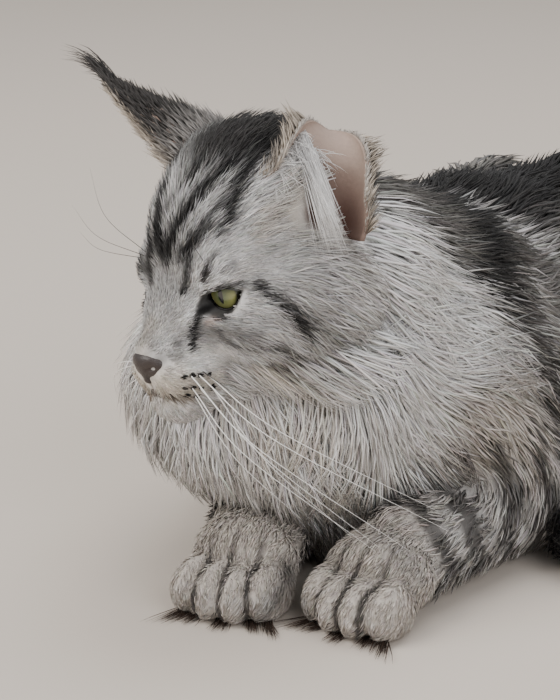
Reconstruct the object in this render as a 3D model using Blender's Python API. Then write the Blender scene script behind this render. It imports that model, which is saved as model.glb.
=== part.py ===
"""A long-haired cat lying on its chest, forepaws together, head turned to its right: life size, in metres.

The cat faces -Y, its left side is +X, and the origin is on the floor under its chest.
The whole animal is modelled first and then parted into nodes by thin cuts.
"""

import math
from dataclasses import dataclass

import bmesh
import bpy
import numpy as np
import openvdb
from mathutils import Matrix, Vector

# Driving sizes
GAP = 0.0003
FLAT_ANGLE = math.radians(0.25)
WELDS = (0.0, 0.000002, 0.000005, 0.00001, 0.00002, 0.00004, 0.00008)
MUSCLE_BLEND = 0.022
HEAD_BLEND = 0.010
LIMB_BLEND = 0.012
PAW_BLEND = 0.0035

# How far a form's lie and coat reach into its neighbours'
FORM_SPREAD = 0.012

# A lock: spans along it, and its width and thickness at the start of each span
LOCK_SPANS = 3
LOCK_WIDTHS = (0.70, 1.00, 0.74)
LOCK_THICKS = (0.90, 1.00, 0.70)
FLOOR_CLEAR = 0.0015

# Share of the coat's depth that the core under the locks fills
CORE_SHARE = 0.42

# The way the hair points, before it is laid along the surface
LIE_FLANK = (0.0, 1.0, -0.42)
LIE_RUFF = (0.0, 0.5, -0.8)
LIE_THIGH = (0.0, 0.75, -0.65)
LIE_FACE = (0.0, -1.0, 0.0)
LIE_CHEEK = (0.35, -0.75, -0.60)

# Where the head sits: the point midway between the eyes, and how the head is held
EYE_POINT = (-0.017, -0.120, 0.165)
HEAD_TURN = math.radians(16.0)
HEAD_NOD = math.radians(12.0)
HEAD_TILT = math.radians(6.0)

# Depth of the coat over the flesh, by region
DEPTH_TORSO = 0.026
DEPTH_BACK = 0.018
DEPTH_NECK = 0.028
DEPTH_BIB = 0.026
DEPTH_LEG = 0.008
DEPTH_PAW = 0.004
DEPTH_THIGH = 0.020
DEPTH_FACE = 0.003
DEPTH_CROWN = 0.012
DEPTH_CHEEK = 0.016


@dataclass(frozen=True)
class Form:
    """A mass of flesh: an ellipsoid with three radii, or a rounded cone from start to end.

    coat is the depth of the long hair over it, and lie the way that hair points, along a cone if not given.
    fur is the depth of short hair, which the solid takes in whole.
    """

    start: tuple
    radii: tuple
    end: tuple = None
    coat: float = 0.0
    lie: tuple = None
    fur: float = 0.0


@dataclass(frozen=True)
class Grain:
    """How finely flesh is modelled: the cell, how far its forms blend, and about how many triangles it keeps."""

    cell: float
    blend: float
    triangles: int


BODY_GRAIN = Grain(0.0070, MUSCLE_BLEND, 520)
HEAD_GRAIN = Grain(0.0026, HEAD_BLEND, 1300)
LEATHER_GRAIN = Grain(0.0013, HEAD_BLEND, 90)
ARM_GRAIN = Grain(0.0060, LIMB_BLEND, 110)
PAW_GRAIN = Grain(0.0032, PAW_BLEND, 340)
THIGH_GRAIN = Grain(0.0080, 0.020, 120)
FOOT_GRAIN = Grain(0.0032, PAW_BLEND, 200)
TAIL_GRAIN = Grain(0.0060, 0.010, 220)


@dataclass(frozen=True)
class Lock:
    """A kind of lock: its size, how far apart the roots are, and how freely it lies."""

    length: float
    width: float
    thickness: float
    spacing: float
    sink: float = 0.007
    rise: float = 1.0
    stray: float = 0.28


RUFF_LOCK = Lock(length=0.062, width=0.033, thickness=0.0078, spacing=0.0345)
FLANK_LOCK = Lock(length=0.074, width=0.041, thickness=0.0085, spacing=0.0480)
THIGH_LOCK = Lock(length=0.060, width=0.036, thickness=0.0075, spacing=0.0450)
LEG_LOCK = Lock(length=0.036, width=0.022, thickness=0.0052, spacing=0.0350, sink=0.005)
TAIL_LOCK = Lock(length=0.068, width=0.033, thickness=0.0075, spacing=0.0340)
CHEEK_LOCK = Lock(length=0.038, width=0.022, thickness=0.0052, spacing=0.0250, sink=0.005)

# Roots tried for each kind of lock, and the height above the floor where roots start
ROOT_TRIES = 6000
BODY_ROOTS_FROM = 0.034
LIMB_ROOTS_FROM = 0.020
TAIL_ROOTS_FROM = 0.006

# The ruff ends at this slanting line across the shoulders: y + slope z = edge
RUFF_SLOPE = 0.55
RUFF_EDGE = 0.095

# How thick and wide the free tufts are
TIP_TUFT = (0.0080, 0.0022)
EAR_HAIR = (0.0120, 0.0024)
TOE_TUFT = (0.0150, 0.0042)
TOE_TUFT_REACH = 0.012


def ellipsoid_distance(points, form, swell):
    """Distance from the ellipsoid's surface, grown by swell."""
    radii = np.array(form.radii) + swell
    offset = points - np.array(form.start)
    scaled = np.linalg.norm(offset / radii, axis=-1)
    steepness = np.linalg.norm(offset / radii**2, axis=-1)
    return scaled * (scaled - 1.0) / np.maximum(steepness, 1e-9)


def cone_distance(points, form, swell):
    """Distance from the rounded cone's surface, grown by swell."""
    start, end = np.array(form.start), np.array(form.end)
    axis = end - start
    along = np.clip((points - start) @ axis / (axis @ axis), 0.0, 1.0)
    near = start + along[..., None] * axis
    radius = form.radii[0] + (form.radii[1] - form.radii[0]) * along
    return np.linalg.norm(points - near, axis=-1) - radius - swell


def form_distance(points, form, swell=0.0):
    """Distance from one form's surface."""
    if form.end is None:
        return ellipsoid_distance(points, form, swell)
    return cone_distance(points, form, swell)


def smooth_least(first, second, blend):
    """The lesser of two distances, with the crease between them filled."""
    overlap = np.maximum(blend - np.abs(first - second), 0.0) / blend
    return np.minimum(first, second) - overlap**2 * blend / 4.0


def flesh(points, forms, blend, coat_share=1.0):
    """Distance from the joined forms, each grown by its share of the coat."""
    total = None
    for form in forms:
        distance = form_distance(points, form, form.fur + form.coat * coat_share)
        total = distance if total is None else smooth_least(total, distance, blend)
    return total


# Half width, half length and half height of a toe
FORE_TOE = (0.0080, 0.0150, 0.0122)
HIND_TOE = (0.0072, 0.0135, 0.0105)

# A paw in toes: its radius at the wrist and knuckle, the knuckles' own radii, and the toes' spacing
PAW_RADII = (2.4, 2.3)
KNUCKLE_RADII = (3.1, 1.1, 1.35)
TOE_PLACES = (-1.5, -0.5, 0.5, 1.5)
TOE_PITCH = 1.52

# How far along the paw the knuckles and the two outer toes lie
KNUCKLE_PLACE = 0.45
OUTER_TOE_PLACE = 0.88

# Flesh of the body
TORSO = (
    Form((0.000, 0.045, 0.074), (0.061, 0.085, 0.074), coat=DEPTH_TORSO, lie=LIE_FLANK),
    Form((0.000, 0.125, 0.072), (0.066, 0.095, 0.076), coat=DEPTH_TORSO, lie=LIE_FLANK),
    Form((0.002, 0.195, 0.066), (0.072, 0.095, 0.069), coat=DEPTH_TORSO, lie=LIE_FLANK),
    Form((0.004, 0.275, 0.068), (0.058, 0.070, 0.066), coat=DEPTH_TORSO, lie=LIE_FLANK),
    Form((0.040, 0.035, 0.092), (0.030, 0.055, 0.054), coat=DEPTH_BACK, lie=LIE_FLANK),
    Form((-0.040, 0.035, 0.092), (0.030, 0.055, 0.054), coat=DEPTH_BACK, lie=LIE_FLANK),
)
NECK = (
    Form((-0.020, -0.052, 0.096), (0.054, 0.036, 0.037), coat=DEPTH_BIB, lie=LIE_RUFF),
    Form((0.000, 0.050, 0.094), (0.053, 0.040), end=(-0.005, -0.039, 0.147), coat=DEPTH_NECK, lie=LIE_RUFF),
    Form((0.000, 0.010, 0.055), (0.046, 0.034), end=(-0.014, -0.048, 0.108), coat=DEPTH_NECK, lie=LIE_RUFF),
)


BODY = TORSO + NECK


def fore_leg(side, wrist, toe):
    """Flesh of one foreleg down to the wrist, then of its paw."""
    shoulder = (side * 0.052, 0.005, 0.080)
    elbow = (side * 0.074, 0.045, 0.032)
    arm = (
        Form(shoulder, (0.030, 0.024), end=elbow, fur=0.003, coat=DEPTH_LEG),
        Form(elbow, (0.022, 0.0185), end=wrist, fur=0.003, coat=DEPTH_LEG),
    )
    return arm, paw_forms(wrist, toe, FORE_TOE)


def paw_forms(wrist, toe, toe_radii):
    """A paw: its back, the knuckles, and four toes side by side, of which the middle two reach furthest."""
    wrist, toe = Vector(wrist), Vector(toe)
    ahead = (toe - wrist).normalized()
    across = Vector((0.0, 0.0, 1.0)).cross(ahead).normalized()
    length = (toe - wrist).length
    width, reach, height = toe_radii
    knuckle = wrist + ahead * length * KNUCKLE_PLACE
    wrist_radii = tuple(width * radius for radius in PAW_RADII)
    knuckle_radii = tuple(size * radius for size, radius in zip(toe_radii, KNUCKLE_RADII))
    forms = [
        Form(tuple(wrist), wrist_radii, end=tuple(knuckle), fur=DEPTH_PAW),
        Form(tuple(knuckle), knuckle_radii, fur=DEPTH_PAW, lie=tuple(ahead)),
    ]
    for place in TOE_PLACES:
        outer = abs(place) > 1.0
        centre = wrist + across * place * width * TOE_PITCH + ahead * length * (OUTER_TOE_PLACE if outer else 1.0)
        centre.z = height
        forms.append(Form(tuple(centre), (width, reach, height), fur=DEPTH_PAW * 0.5, lie=tuple(ahead)))
    return tuple(forms)


LEFT_ARM, LEFT_PAW = fore_leg(1.0, (0.059, -0.055, 0.025), (0.0555, -0.098, 0.016))
RIGHT_ARM, RIGHT_PAW = fore_leg(-1.0, (-0.014, -0.070, 0.025), (-0.003, -0.116, 0.016))


def hind_leg(side):
    """Flesh of a folded hind leg, then of its foot, which lies flat beside the belly."""
    heel = (side * 0.084, 0.285, 0.020)
    wrist = (side * 0.086, 0.205, 0.020)
    toe = (side * 0.084, 0.162, 0.013)
    thigh = (
        Form((side * 0.062, 0.262, 0.072), (0.038, 0.062, 0.058), coat=DEPTH_THIGH, lie=LIE_THIGH),
        Form((side * 0.078, 0.215, 0.040), (0.030, 0.020), end=heel, coat=0.012, lie=LIE_THIGH),
    )
    foot = (Form(heel, (0.016, 0.017), end=wrist, fur=0.005),) + paw_forms(wrist, toe, HIND_TOE)
    return thigh, foot


LEFT_THIGH, LEFT_FOOT = hind_leg(1.0)
RIGHT_THIGH, RIGHT_FOOT = hind_leg(-1.0)

# The tail leaves the rump, comes round the left hip and lies along the left side
TAIL_ROUTE = (
    (0.008, 0.312, 0.066),
    (0.050, 0.360, 0.036),
    (0.104, 0.360, 0.022),
    (0.145, 0.322, 0.020),
    (0.162, 0.260, 0.020),
    (0.160, 0.190, 0.020),
    (0.148, 0.122, 0.020),
    (0.133, 0.064, 0.019),
    (0.122, 0.030, 0.018),
)
TAIL_FLESH = (0.014, 0.012, 0.010, 0.009, 0.008, 0.007, 0.006, 0.005, 0.004)
TAIL_COAT = (0.018, 0.026, 0.030, 0.033, 0.035, 0.036, 0.035, 0.031, 0.020)


def smooth_route(points, per_span):
    """Points along a smooth curve through the given ones."""
    route = [Vector(p) for p in points]
    padded = [route[0] * 2 - route[1]] + route + [route[-1] * 2 - route[-2]]
    made = []
    for i in range(1, len(padded) - 2):
        p0, p1, p2, p3 = padded[i - 1 : i + 3]
        for step in range(per_span):
            t = step / per_span
            made.append(
                0.5 * (2 * p1 + (p2 - p0) * t + (2 * p0 - 5 * p1 + 4 * p2 - p3) * t**2
                       + (3 * p1 - p0 - 3 * p2 + p3) * t**3)
            )
    return made + [route[-1]]


def tail_forms():
    """Short rounded cones along the tail's route."""
    spans = 2
    route = smooth_route(TAIL_ROUTE, spans)
    marks = np.linspace(0.0, len(TAIL_ROUTE) - 1.0, len(route))
    flesh_radius = np.interp(marks, range(len(TAIL_FLESH)), TAIL_FLESH)
    coat = np.interp(marks, range(len(TAIL_COAT)), TAIL_COAT)
    return tuple(
        Form(tuple(a), (r0, r1), end=tuple(b), coat=(c0 + c1) / 2)
        for a, b, r0, r1, c0, c1 in zip(
            route, route[1:], flesh_radius, flesh_radius[1:], coat, coat[1:]
        )
    )


TAIL = tail_forms()


# Flesh of the head, in its own frame: x to the cat's right, y forward, z up, from the eye point
CRANIUM = (
    Form((0.000, -0.042, 0.016), (0.034, 0.043, 0.038), fur=DEPTH_CROWN, lie=LIE_FACE),
    Form((0.000, -0.016, 0.013), (0.028, 0.026, 0.025), fur=0.006, lie=LIE_FACE),
    Form((0.000, -0.002, -0.014), (0.027, 0.026, 0.024), fur=DEPTH_FACE, lie=LIE_FACE),
)
PAIRED = (
    Form((0.025, -0.022, -0.016), (0.015, 0.028, 0.020), fur=0.004, coat=0.006, lie=LIE_CHEEK),
    Form((0.028, -0.040, -0.022), (0.016, 0.026, 0.024), coat=DEPTH_CHEEK, lie=LIE_CHEEK),
    Form((0.0195, 0.000, 0.0105), (0.0105, 0.0085, 0.0050), fur=0.002),
    Form((0.0090, 0.0255, -0.0305), (0.0098, 0.0105, 0.0080), fur=0.002),
    Form((0.005, 0.012, -0.042), (0.0085, 0.011), end=(0.022, -0.028, -0.034), fur=0.004),
)
MUZZLE = (
    Form((0.000, 0.004, 0.000), (0.0095, 0.0080), end=(0.000, 0.0310, -0.0190), fur=0.001),
    Form((0.000, 0.018, -0.028), (0.0150, 0.0170, 0.0120), fur=0.001),
    Form((0.000, 0.0240, -0.0455), (0.0098, 0.0105, 0.0080), fur=0.005),
)
LEATHER = Form((0.000, 0.0345, -0.0230), (0.0082, 0.0045, 0.0062))


def mirrored(form):
    """The same form on the other side of the head."""
    def flip(v):
        return None if v is None else (-v[0], v[1], v[2])

    return Form(flip(form.start), form.radii, flip(form.end), form.coat, flip(form.lie), form.fur)


HEAD = CRANIUM + PAIRED + tuple(mirrored(f) for f in PAIRED) + MUZZLE

# Eyes, ears and mouth, in the head's frame
EYE_CENTRE = (0.0195, -0.0065, -0.0010)
EYE_RADIUS = 0.0112
LID_THICK = 0.0017
EYE_OUTWARD = math.radians(22.0)
EYE_SLANT = math.radians(14.0)
LID_HALF_WIDTH = 0.0106
LID_UPPER = 0.0042
LID_LOWER = 0.0070

# For the right ear, which is pricked, then for the left one, which is turned back with its tip curled behind it
EAR_BASE = {1.0: (0.0300, -0.0445, 0.0410), -1.0: (0.0405, -0.0420, 0.0225)}
EAR_TIP = {1.0: (0.0795, -0.0315, 0.0820), -1.0: (0.0425, -0.0800, 0.0695)}
EAR_FACING = {1.0: (0.37, 0.65, -0.66), -1.0: (0.84, 0.43, 0.32)}
EAR_CURL_FROM = {1.0: 0.60, -1.0: 0.40}
EAR_CURL = {1.0: math.radians(10.0), -1.0: math.radians(103.0)}
EAR_WIDTH = {1.0: 0.0260, -1.0: 0.0285}
EAR_BLOCK = {
    1.0: ((0.006, 0.084, -0.002), (0.036, 0.066, 0.027)),
    -1.0: ((0.004, 0.052, -0.016), (0.040, 0.036, 0.036)),
}
TUFT_BEND = {1.0: (0.90, 0.10, -0.45), -1.0: (0.10, -0.95, 0.10)}
TUFT_LENGTH = {1.0: 0.034, -1.0: 0.018}
EAR_DEPTH = 0.0190
EAR_THICK = 0.0022

# How the ear narrows and flattens to its tip, and how far it wraps round
EAR_WIDTH_TAPER = 0.55
EAR_DEPTH_TAPER = 0.80
EAR_TIP_DEPTH = 0.0015
EAR_WRAP = math.radians(128.0)
EAR_UNWRAP = math.radians(38.0)


def head_matrix():
    """From the head's frame to the room."""
    turn_c, turn_s = math.cos(HEAD_TURN), math.sin(HEAD_TURN)
    nod_c, nod_s = math.cos(HEAD_NOD), math.sin(HEAD_NOD)
    ahead = Vector((-turn_s * nod_c, -turn_c * nod_c, -nod_s))
    right = Vector((-turn_c, turn_s, 0.0))
    up = right.cross(ahead)
    tilt_c, tilt_s = math.cos(HEAD_TILT), math.sin(HEAD_TILT)
    right, up = right * tilt_c - up * tilt_s, right * tilt_s + up * tilt_c
    matrix = Matrix((right, ahead, up)).transposed().to_4x4()
    matrix.translation = Vector(EYE_POINT)
    return matrix


HEAD_PLACE = head_matrix()


def clear_scene():
    """Removes whatever the scene starts with."""
    for obj in list(bpy.data.objects):
        bpy.data.objects.remove(obj)


def material(name, colour, roughness, metallic=0.0):
    """A plain finish."""
    made = bpy.data.materials.new(name)
    made.use_nodes = True
    shader = made.node_tree.nodes["Principled BSDF"]
    shader.inputs["Base Color"].default_value = (*colour, 1.0)
    shader.inputs["Roughness"].default_value = roughness
    shader.inputs["Metallic"].default_value = metallic
    return made


def link(name, mesh):
    """A new object of this mesh in the scene."""
    made = bpy.data.objects.new(name, mesh)
    bpy.context.scene.collection.objects.link(made)
    return made


def mesh_from(name, points, faces):
    """A mesh object with its faces pointing out."""
    mesh = bpy.data.meshes.new(name)
    mesh.from_pydata([tuple(p) for p in points], [], [tuple(f) for f in faces])
    mesh.validate()
    edit = bmesh.new()
    edit.from_mesh(mesh)
    bmesh.ops.recalc_face_normals(edit, faces=edit.faces)
    if edit.calc_volume(signed=True) < 0:
        bmesh.ops.reverse_faces(edit, faces=edit.faces)
    edit.to_mesh(mesh)
    edit.free()
    return link(name, mesh)


def surface(name, forms, grain):
    """The closed surface of the joined forms with the core's share of their coat, in about this grain."""
    cell = grain.cell
    ends = [np.array(f.start) for f in forms] + [np.array(f.end) for f in forms if f.end]
    reach = max(max(f.radii) + f.coat + f.fur for f in forms) + 4 * cell
    low, high = np.min(ends, axis=0) - reach, np.max(ends, axis=0) + reach
    axes = [np.arange(low[i], high[i] + cell, cell) for i in range(3)]
    points = np.stack(np.meshgrid(*axes, indexing="ij"), axis=-1)
    grid = openvdb.FloatGrid(1.0)
    grid.copyFromArray(flesh(points, forms, grain.blend, CORE_SHARE).astype(np.float32))
    corners, quads = grid.convertToQuads(0.0)
    made = mesh_from(name, corners * cell + low, quads)
    thin = made.modifiers.new("thin", "DECIMATE")
    thin.ratio = min(1.0, grain.triangles / (2.0 * len(made.data.polygons)))
    thin.use_collapse_triangulate = True
    return applied(made)


def applied(obj):
    """The object with its modifiers made part of its mesh."""
    graph = bpy.context.evaluated_depsgraph_get()
    mesh = bpy.data.meshes.new_from_object(obj.evaluated_get(graph))
    obj.modifiers.clear()
    obj.data = mesh
    return obj


def placed(obj, matrix):
    """The object with this matrix made part of its mesh."""
    obj.data.transform(matrix)
    obj.data.update()
    return obj


def combine(obj, others, operation):
    """Joins others to obj, cuts them from it, or keeps what they share, in one Boolean."""
    tools = bpy.data.collections.new("tools")
    bpy.context.scene.collection.children.link(tools)
    for other in others:
        tools.objects.link(other)
    modifier = obj.modifiers.new("combine", "BOOLEAN")
    modifier.operation = operation
    modifier.solver = "MANIFOLD"
    modifier.operand_type = "COLLECTION"
    modifier.collection = tools
    applied(obj)
    for other in others:
        bpy.data.objects.remove(other)
    bpy.data.collections.remove(tools)
    return obj


def copy_of(obj, name):
    """A separate copy of the object."""
    return link(name, obj.data.copy())


def largest_shell(edit):
    """Deletes all but the largest closed surface of a mesh in triangles."""
    unseen, best, best_volume = set(edit.faces), [], 0.0
    while unseen:
        shell, stack = [], [unseen.pop()]
        while stack:
            face = stack.pop()
            shell.append(face)
            for edge in face.edges:
                # Where two surfaces only touch, their edge has four faces and isn't crossed
                for other in edge.link_faces if len(edge.link_faces) == 2 else ():
                    if other in unseen:
                        unseen.discard(other)
                        stack.append(other)
        corners = ([v.co for v in face.verts] for face in shell)
        volume = sum(a.dot(b.cross(c)) for a, b, c in corners)
        if volume > best_volume:
            best, best_volume = shell, volume
    keep = set(best)
    bmesh.ops.delete(edit, geom=[f for f in edit.faces if f not in keep], context="FACES")


def holds_at(edit, grid):
    """Whether the mesh stays one closed surface with its points rounded to a grid."""
    edit.verts.index_update()
    points = np.array([v.co[:] for v in edit.verts])
    faces = np.array([[v.index for v in f.verts] for f in edit.faces])
    _, index = np.unique(np.round(points / grid).astype(np.int64), axis=0, return_inverse=True)
    faces = index.reshape(-1)[faces]
    whole = (faces[:, 0] != faces[:, 1]) & (faces[:, 1] != faces[:, 2]) & (faces[:, 0] != faces[:, 2])
    ends = np.concatenate([faces[whole][:, pair] for pair in ([0, 1], [1, 2], [2, 0])])
    _, counts = np.unique(np.sort(ends, axis=1), axis=0, return_counts=True)
    return bool((counts == 2).all())


def largest_piece(obj):
    """Keeps only the object's largest closed surface, its nearest points made one as far as that needs."""
    for weld in WELDS:
        edit = bmesh.new()
        edit.from_mesh(obj.data)
        if weld:
            bmesh.ops.remove_doubles(edit, verts=edit.verts, dist=weld)
            bmesh.ops.dissolve_degenerate(edit, edges=edit.edges, dist=weld)
        bmesh.ops.triangulate(edit, faces=edit.faces)
        largest_shell(edit)
        sound = holds_at(edit, 1e-7) and holds_at(edit, 1e-6)
        if sound or weld == WELDS[-1]:
            edit.to_mesh(obj.data)
        edit.free()
        if sound:
            break
    return obj


def triangulated(obj):
    """The object in triangles, with no more of them than its flat faces need, where that leaves it closed."""
    for flat_angle in (FLAT_ANGLE, None):
        edit = bmesh.new()
        edit.from_mesh(obj.data)
        if flat_angle is not None:
            bmesh.ops.dissolve_limit(edit, angle_limit=flat_angle, verts=edit.verts, edges=edit.edges)
        bmesh.ops.triangulate(edit, faces=edit.faces)
        closed = all(len(edge.link_faces) == 2 for edge in edit.edges)
        if closed or flat_angle is None:
            edit.to_mesh(obj.data)
        edit.free()
        if closed:
            break
    return obj


def block(centre, half, matrix=None, grow=0.0, name="block"):
    """A box about a centre, with half sizes, in a frame of its own."""
    mesh = bpy.data.meshes.new(name)
    edit = bmesh.new()
    bmesh.ops.create_cube(edit, size=2.0)
    for vert in edit.verts:
        vert.co = Vector(centre) + Vector([c * (h + grow) for c, h in zip(vert.co, half)])
    edit.to_mesh(mesh)
    edit.free()
    made = link(name, mesh)
    return placed(made, matrix) if matrix else made


def ball(centre, radii, name="ball", segments=24, rings=16):
    """A closed ellipsoid."""
    mesh = bpy.data.meshes.new(name)
    edit = bmesh.new()
    bmesh.ops.create_uvsphere(edit, u_segments=segments, v_segments=rings, radius=1.0)
    for vert in edit.verts:
        vert.co = Vector(centre) + Vector([c * r for c, r in zip(vert.co, radii)])
    edit.to_mesh(mesh)
    edit.free()
    return link(name, mesh)


def facing_matrix(point, ahead, up):
    """A frame at point whose y axis looks ahead."""
    ahead = Vector(ahead).normalized()
    right = ahead.cross(Vector(up)).normalized()
    matrix = Matrix((right, ahead, right.cross(ahead))).transposed().to_4x4()
    matrix.translation = Vector(point)
    return matrix


def eye_place(side):
    """The eye's frame, y along its gaze and x towards its outer corner's side."""
    ahead = Vector((side * math.sin(EYE_OUTWARD), math.cos(EYE_OUTWARD), 0.0))
    up = Vector((-side * math.sin(EYE_SLANT), 0.0, math.cos(EYE_SLANT)))
    centre = Vector((side * EYE_CENTRE[0], EYE_CENTRE[1], EYE_CENTRE[2]))
    return HEAD_PLACE @ facing_matrix(centre, ahead, up)


def lid_opening(side):
    """An almond-shaped block that opens the lids in front of the eye."""
    steps = 10
    outline = []
    for i in range(steps + 1):
        u = -1.0 + 2.0 * i / steps
        outline.append((u * LID_HALF_WIDTH, -LID_LOWER * (1 - abs(u) ** 2.0)))
    for i in range(1, steps):
        u = 1.0 - 2.0 * i / steps
        outline.append((u * LID_HALF_WIDTH, LID_UPPER * (1 - abs(u) ** 2.6)))
    near, far = 0.002, 0.030
    count = len(outline)
    points = [(x, near, z) for x, z in outline] + [(x * 1.15, far, z * 1.3) for x, z in outline]
    faces = [tuple(range(count)), tuple(range(2 * count - 1, count - 1, -1))]
    faces += [(i, (i + 1) % count, count + (i + 1) % count, count + i) for i in range(count)]
    return placed(mesh_from("lid_opening", points, faces), eye_place(side))


def tube(name, route, radii, sides=6, flat=1.0, up=(0.0, 0.0, 1.0)):
    """A closed tube along a route, its height flat times its width."""
    route = [Vector(p) for p in route]
    points, count = [], len(route)
    for i, place in enumerate(route):
        ahead = (route[min(i + 1, count - 1)] - route[max(i - 1, 0)]).normalized()
        across = ahead.cross(Vector(up)).normalized()
        rise = across.cross(ahead)
        for k in range(sides):
            turn = 2 * math.pi * k / sides
            points.append(
                place + across * math.cos(turn) * radii[i] + rise * math.sin(turn) * radii[i] * flat
            )
    faces = [tuple(range(sides)), tuple(range((count - 1) * sides, count * sides))]
    for i in range(count - 1):
        for k in range(sides):
            a, b = i * sides + k, i * sides + (k + 1) % sides
            faces.append((a, b, b + sides, a + sides))
    return mesh_from(name, points, faces)


def mouth_groove():
    """The line of the mouth, from one corner round the front to the other, and the cleft above it."""
    half = (
        (0.0000, 0.0345, -0.0365),
        (0.0060, 0.0350, -0.0385),
        (0.0125, 0.0310, -0.0395),
        (0.0180, 0.0220, -0.0385),
        (0.0215, 0.0120, -0.0365),
        (0.0240, 0.0020, -0.0340),
    )
    route = [(-x, y, z) for x, y, z in reversed(half[1:])] + list(half)
    radii = [0.0022] * len(route)
    line = tube("mouth", route, radii, sides=6, flat=0.45)
    cleft_route = ((0.0, 0.0385, -0.0270), (0.0, 0.0378, -0.0320), (0.0, 0.0360, -0.0370))
    cleft = tube("cleft", cleft_route, (0.0012, 0.0014, 0.0016), sides=5, up=(0.0, 1.0, 0.0))
    return [placed(line, HEAD_PLACE), placed(cleft, HEAD_PLACE)]


def nostril(side):
    """A nostril, opening forward and outward."""
    route = (
        (side * 0.0030, 0.0330, -0.0238),
        (side * 0.0042, 0.0385, -0.0240),
        (side * 0.0062, 0.0415, -0.0232),
    )
    return placed(tube("nostril", route, (0.0008, 0.0015, 0.0022), sides=6, flat=0.8), HEAD_PLACE)


def ear_frame(side):
    """The ear's axis from base to tip, its facing and the way across, in the head's frame."""
    def to_side(v):
        return Vector((side * v[0], v[1], v[2]))

    base, tip, facing = to_side(EAR_BASE[side]), to_side(EAR_TIP[side]), to_side(EAR_FACING[side])
    axis = tip - base
    facing = (facing - axis * facing.dot(axis) / axis.length_squared).normalized()
    across = axis.cross(facing).normalized()
    return base, axis, facing, across


def ear_bent(side, up):
    """The ear's middle line, the way on to the tip and the facing at a height, as the upper ear curls back."""
    base, axis, facing, across = ear_frame(side)
    along = axis.normalized()
    radius = axis.length * (1.0 - EAR_CURL_FROM[side]) / EAR_CURL[side]
    curl = max(up - EAR_CURL_FROM[side], 0.0) / (1.0 - EAR_CURL_FROM[side]) * EAR_CURL[side]
    height = min(up, EAR_CURL_FROM[side]) * axis.length + radius * math.sin(curl)
    middle = base + along * height - facing * radius * (1.0 - math.cos(curl))
    onward = along * math.cos(curl) - facing * math.sin(curl)
    return middle, onward, facing * math.cos(curl) + along * math.sin(curl), across


def ear_point(side, up, turn, inset):
    """A point of the ear's shell: up from base to tip, turn from one rim round the back to the other."""
    middle, onward, facing, across = ear_bent(side, up)
    width = EAR_WIDTH[side] * (1.0 - up) ** EAR_WIDTH_TAPER
    depth = EAR_DEPTH * (1.0 - up) ** EAR_DEPTH_TAPER + EAR_TIP_DEPTH
    reach = EAR_WRAP - EAR_UNWRAP * up
    angle = turn * reach
    back = math.cos(angle) * (depth - inset)
    aside = math.sin(angle) / math.sin(min(reach, math.pi / 2)) * (width - inset)
    return middle - facing * back + across * aside


def ear(side, name):
    """One ear, a cupped shell with a closed rim, its root sunk in the head."""
    ups = [-0.16, 0.0, 0.20, 0.40, 0.55, 0.70, 0.84, 0.96]
    turns = [i / 4.0 for i in range(-4, 5)]
    rows, cols = len(ups), len(turns)
    outer = [ear_point(side, max(u, 0.0), t, 0.0) for u in ups for t in turns]
    inner = [ear_point(side, max(u, 0.0), t * 0.94, EAR_THICK) for u in ups for t in turns]
    base, axis, facing, across = ear_frame(side)
    for i in range(cols):
        outer[i] += axis * ups[0]
        inner[i] += axis * ups[0]
    points = outer + inner
    shift = rows * cols
    faces = []
    for r in range(rows - 1):
        for c in range(cols - 1):
            a = r * cols + c
            faces.append((a, a + 1, a + 1 + cols, a + cols))
            faces.append((shift + a, shift + a + cols, shift + a + 1 + cols, shift + a + 1))
    rim = [r * cols for r in range(rows)] + [(rows - 1) * cols + c for c in range(1, cols)]
    rim += [r * cols + cols - 1 for r in range(rows - 2, -1, -1)] + list(range(cols - 2, 0, -1))
    for a, b in zip(rim, rim[1:] + rim[:1]):
        faces.append((a, b, shift + b, shift + a))
    return placed(mesh_from(name, points, faces), HEAD_PLACE)


def steepest(points, forms, blend, step=0.0008):
    """The unit direction away from the flesh at each point."""
    slopes = []
    for axis in range(3):
        shift = np.zeros(3)
        shift[axis] = step
        slopes.append(flesh(points + shift, forms, blend, 0.0) - flesh(points - shift, forms, blend, 0.0))
    slopes = np.stack(slopes, axis=-1)
    return slopes / np.maximum(np.linalg.norm(slopes, axis=-1, keepdims=True), 1e-12)


def nearness(points, forms):
    """How much each form counts at each point, as shares that add up to one."""
    distances = np.stack([form_distance(points, f) for f in forms], axis=-1)
    weights = np.exp(-(distances - distances.min(axis=-1, keepdims=True)) / FORM_SPREAD)
    return weights / weights.sum(axis=-1, keepdims=True)


def lie_of(form):
    """The way the hair points on a form."""
    lie = form.lie or (np.array(form.end) - np.array(form.start) if form.end else (0.0, 0.0, -1.0))
    return np.array(lie) / np.linalg.norm(lie)


def along_surface(vectors, normals):
    """The vectors laid along the surface, as unit vectors."""
    flat = vectors - (vectors * normals).sum(axis=-1, keepdims=True) * normals
    return flat / np.maximum(np.linalg.norm(flat, axis=-1, keepdims=True), 1e-9)


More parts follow.
